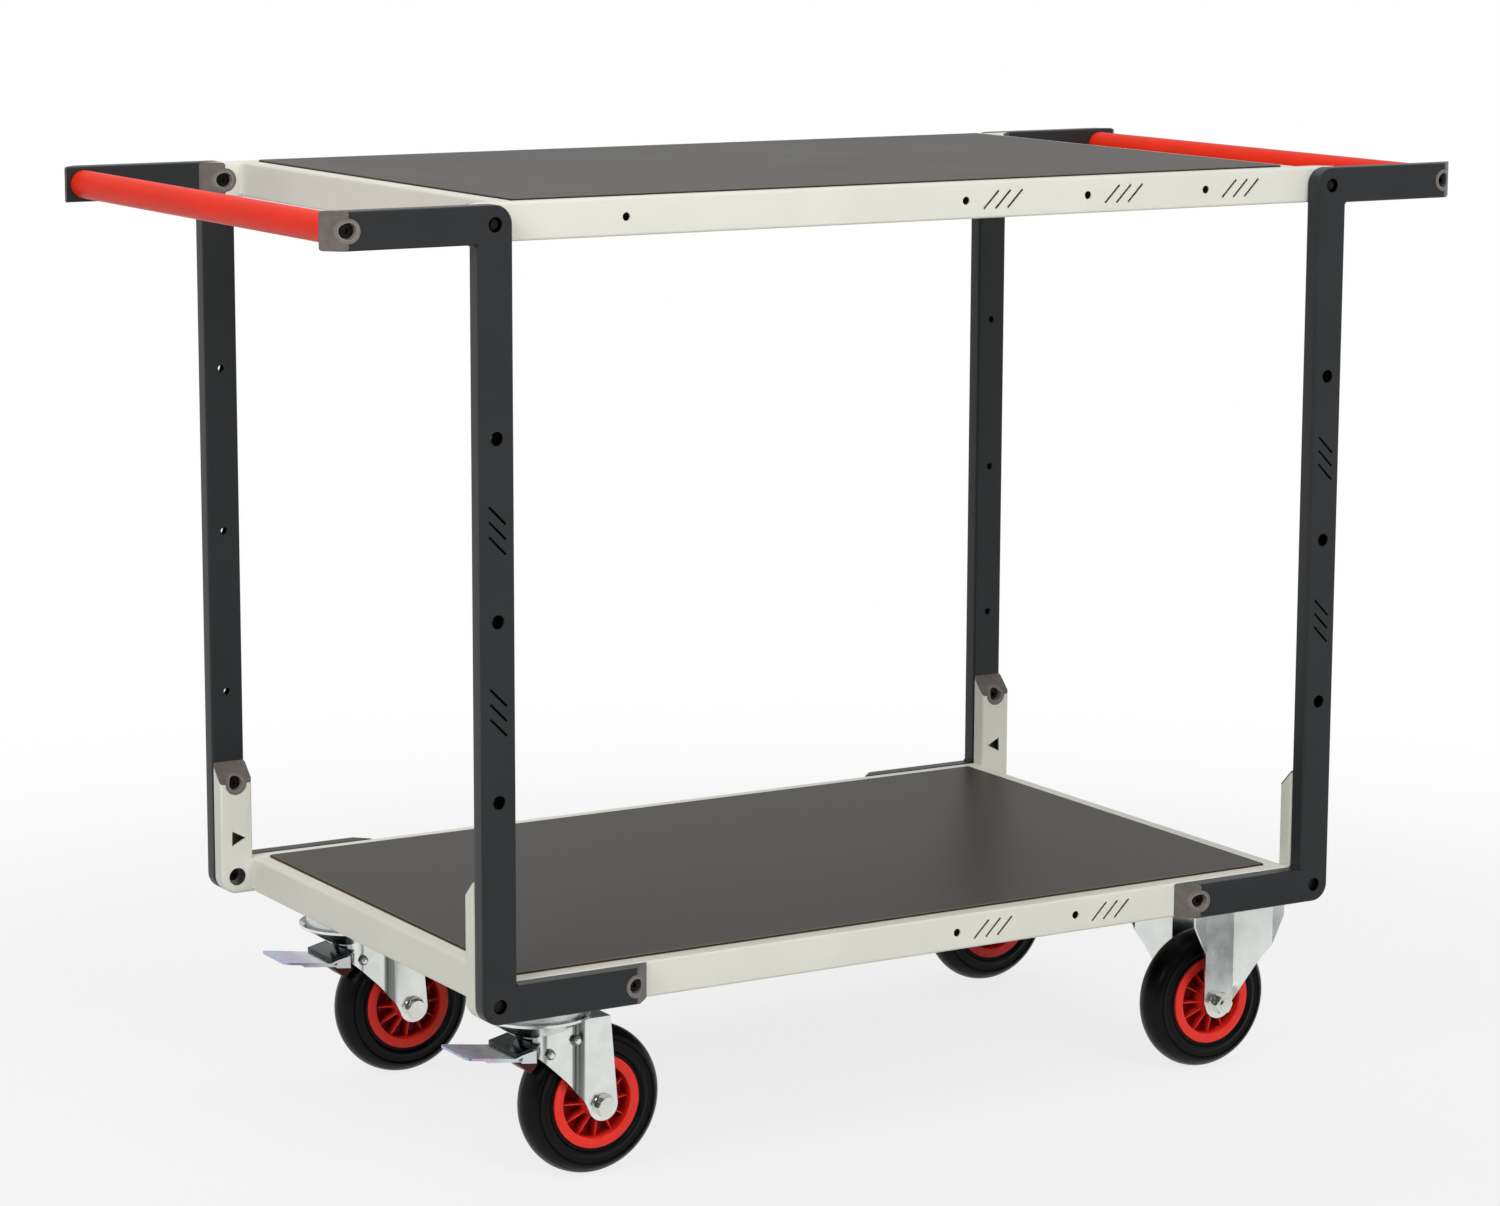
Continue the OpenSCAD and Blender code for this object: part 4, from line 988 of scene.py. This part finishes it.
# %% Threaded ends
rod = Recipe("castor_bolt_ends", bolt_zinc, radius=3.95 * MM, length=17 * MM, pitch=1.25 * MM)
line = rod.node("GeometryNodeCurvePrimitiveLine", {"Start": (0, 0, 0), "End": (0, 0, 1)})
fine = rod.node("GeometryNodeResampleCurve", {"Curve": line, "Count": 55}, mode="COUNT")
here = rod.node("GeometryNodeInputPosition")
tall = rod.node("ShaderNodeVectorMath", {0: here, "Scale": rod.given["length"]}, operation="SCALE")
fine = rod.node("GeometryNodeSetPosition", {"Geometry": fine, "Position": tall})
rise_up = rod.node("ShaderNodeSeparateXYZ", {0: rod.node("GeometryNodeInputPosition")}, out=2)
phase = rod.maths("DIVIDE", rod.maths("MULTIPLY", rise_up, math.tau), rod.given["pitch"])
ripple = rod.maths("MULTIPLY", rod.maths("SINE", phase, 0.0), 0.04)
thread = rod.maths("MULTIPLY", rod.given["radius"], rod.maths("ADD", 0.96, ripple))
disc = rod.node("GeometryNodeCurvePrimitiveCircle", {"Resolution": 20, "Radius": 1.0}, mode="RADIUS")
stem = rod.node("GeometryNodeCurveToMesh", {"Curve": fine, "Profile Curve": disc, "Scale": thread,
                                            "Fill Caps": True})
rod.end(rod.node("GeometryNodeInstanceOnPoints", {"Points": rod.given["Geometry"], "Instance": stem}))
stand_in(rod.make("castor_bolt_ends", heads), "root", "fastener")

# %% [markdown]
# ## Smooth copies
# Bars, bent sheet, caps and tube corners only need to be shaded across their curves, as the finer
# copies allow. The list goes from name beginnings to slot names, which are passed along but not used.

# %% Smooth the curved solids
SMOOTH = {"handle_bar": "bar", "swivel_fork": "zinc", "fixed_fork": "zinc", "kingpin": "fastener",
          "top_plate": "zinc", "side_frame": "frame", "upper_rail": "shelf", "lower_rail": "shelf",
          "brake_pedal": "pedal", "release_plate": "release", "brake_shoe": "shoe",
          "frame_end_caps": "cap", "shelf_end_caps": "cap"}
copies = []
for name in list(nodes):
    for key, slot in SMOOTH.items():
        if name.startswith(key) and name != "handle_bar_plugs":
            copies.append(finer(name, slot))
print("smooth copies:", len(copies))

# %% [markdown]
# ## Welds
# The end rails are welded into the corners of the side rails, and the side members are mitred. The
# outer faces are ground flat, but a small bead stays in each inner corner. The beads follow lines,
# so a tree turns lines into tubes and swells them a little, one puddle after another.

# %% A bead along each line
def bead_recipe(finish):
    r = Recipe("weld_beads_" + finish.name, finish, radius=1.8 * MM, pitch=2.6 * MM)
    path = r.node("GeometryNodeMeshToCurve", {"Mesh": r.given["Geometry"]})
    fine = r.node("GeometryNodeResampleCurve", {"Curve": path, "Length": 0.65 * MM}, mode="LENGTH")
    run = r.node("GeometryNodeSplineParameter", out="Length")
    wave = r.maths("SINE", r.maths("DIVIDE", r.maths("MULTIPLY", run, math.tau), r.given["pitch"]), 0.0)
    swell = r.maths("MULTIPLY", r.given["radius"], r.maths("ADD", 1.0, r.maths("MULTIPLY", wave, 0.10)))
    disc = r.node("GeometryNodeCurvePrimitiveCircle", {"Resolution": 10, "Radius": 1.0}, mode="RADIUS")
    tube = r.node("GeometryNodeCurveToMesh", {"Curve": fine, "Profile Curve": disc, "Scale": swell,
                                              "Fill Caps": True})
    return r.end(tube)


def bead_lines(recipe, name, lines, slot):
    points = [p for line in lines for p in line]
    edges = [(i, i + 1) for i in range(0, len(points), 2)]
    return stand_in(recipe.make(name, points, edges=edges), "root", slot)


print("bead recipe ready")

# %% [markdown]
# ## Where the beads lie
# On a shelf they run upright, where an end rail meets a side rail. On a side member they run across
# the tube, in the inner corner of post and arm, and of post and foot. The lines are worked out from
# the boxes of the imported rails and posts, sunk a little into the corner.

# %% Weld beads
SUNK, SHORT_OF_EDGE = 0.4 * MM, 4 * MM
shelf_lines = []
for lo, hi in (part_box("upper_rail_left"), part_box("lower_rail_left")):
    for sx in (-1, 1):
        for sy in (-1, 1):
            x, y = sx * (abs(lo.x) + SUNK), sy * (hi.y - SUNK)
            shelf_lines.append(((x, y, lo.z + SHORT_OF_EDGE), (x, y, hi.z - SHORT_OF_EDGE)))
bead_lines(bead_recipe(shelf_coat), "shelf_weld_beads", shelf_lines, "shelf")

TUBE_W, TUBE_T, HALF_BEAD = 38 * MM, 20 * MM, 7 * MM
post_lo, post_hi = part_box("side_frame_front_left")
frame_lines = []
for sx in (-1, 1):
    for sy in (-1, 1):
        for z, out in ((post_hi.z - TUBE_W, 1), (post_lo.z + TUBE_W, -1)):
            x = sx * (POST_X + out * (TUBE_W / 2 + SUNK))
            y = sy * (abs(post_lo.y) - TUBE_T / 2)
            bead_z = z - out * SUNK
            frame_lines.append(((x, y - HALF_BEAD, bead_z), (x, y + HALF_BEAD, bead_z)))
bead_lines(bead_recipe(frame_coat), "frame_weld_beads", frame_lines, "frame")
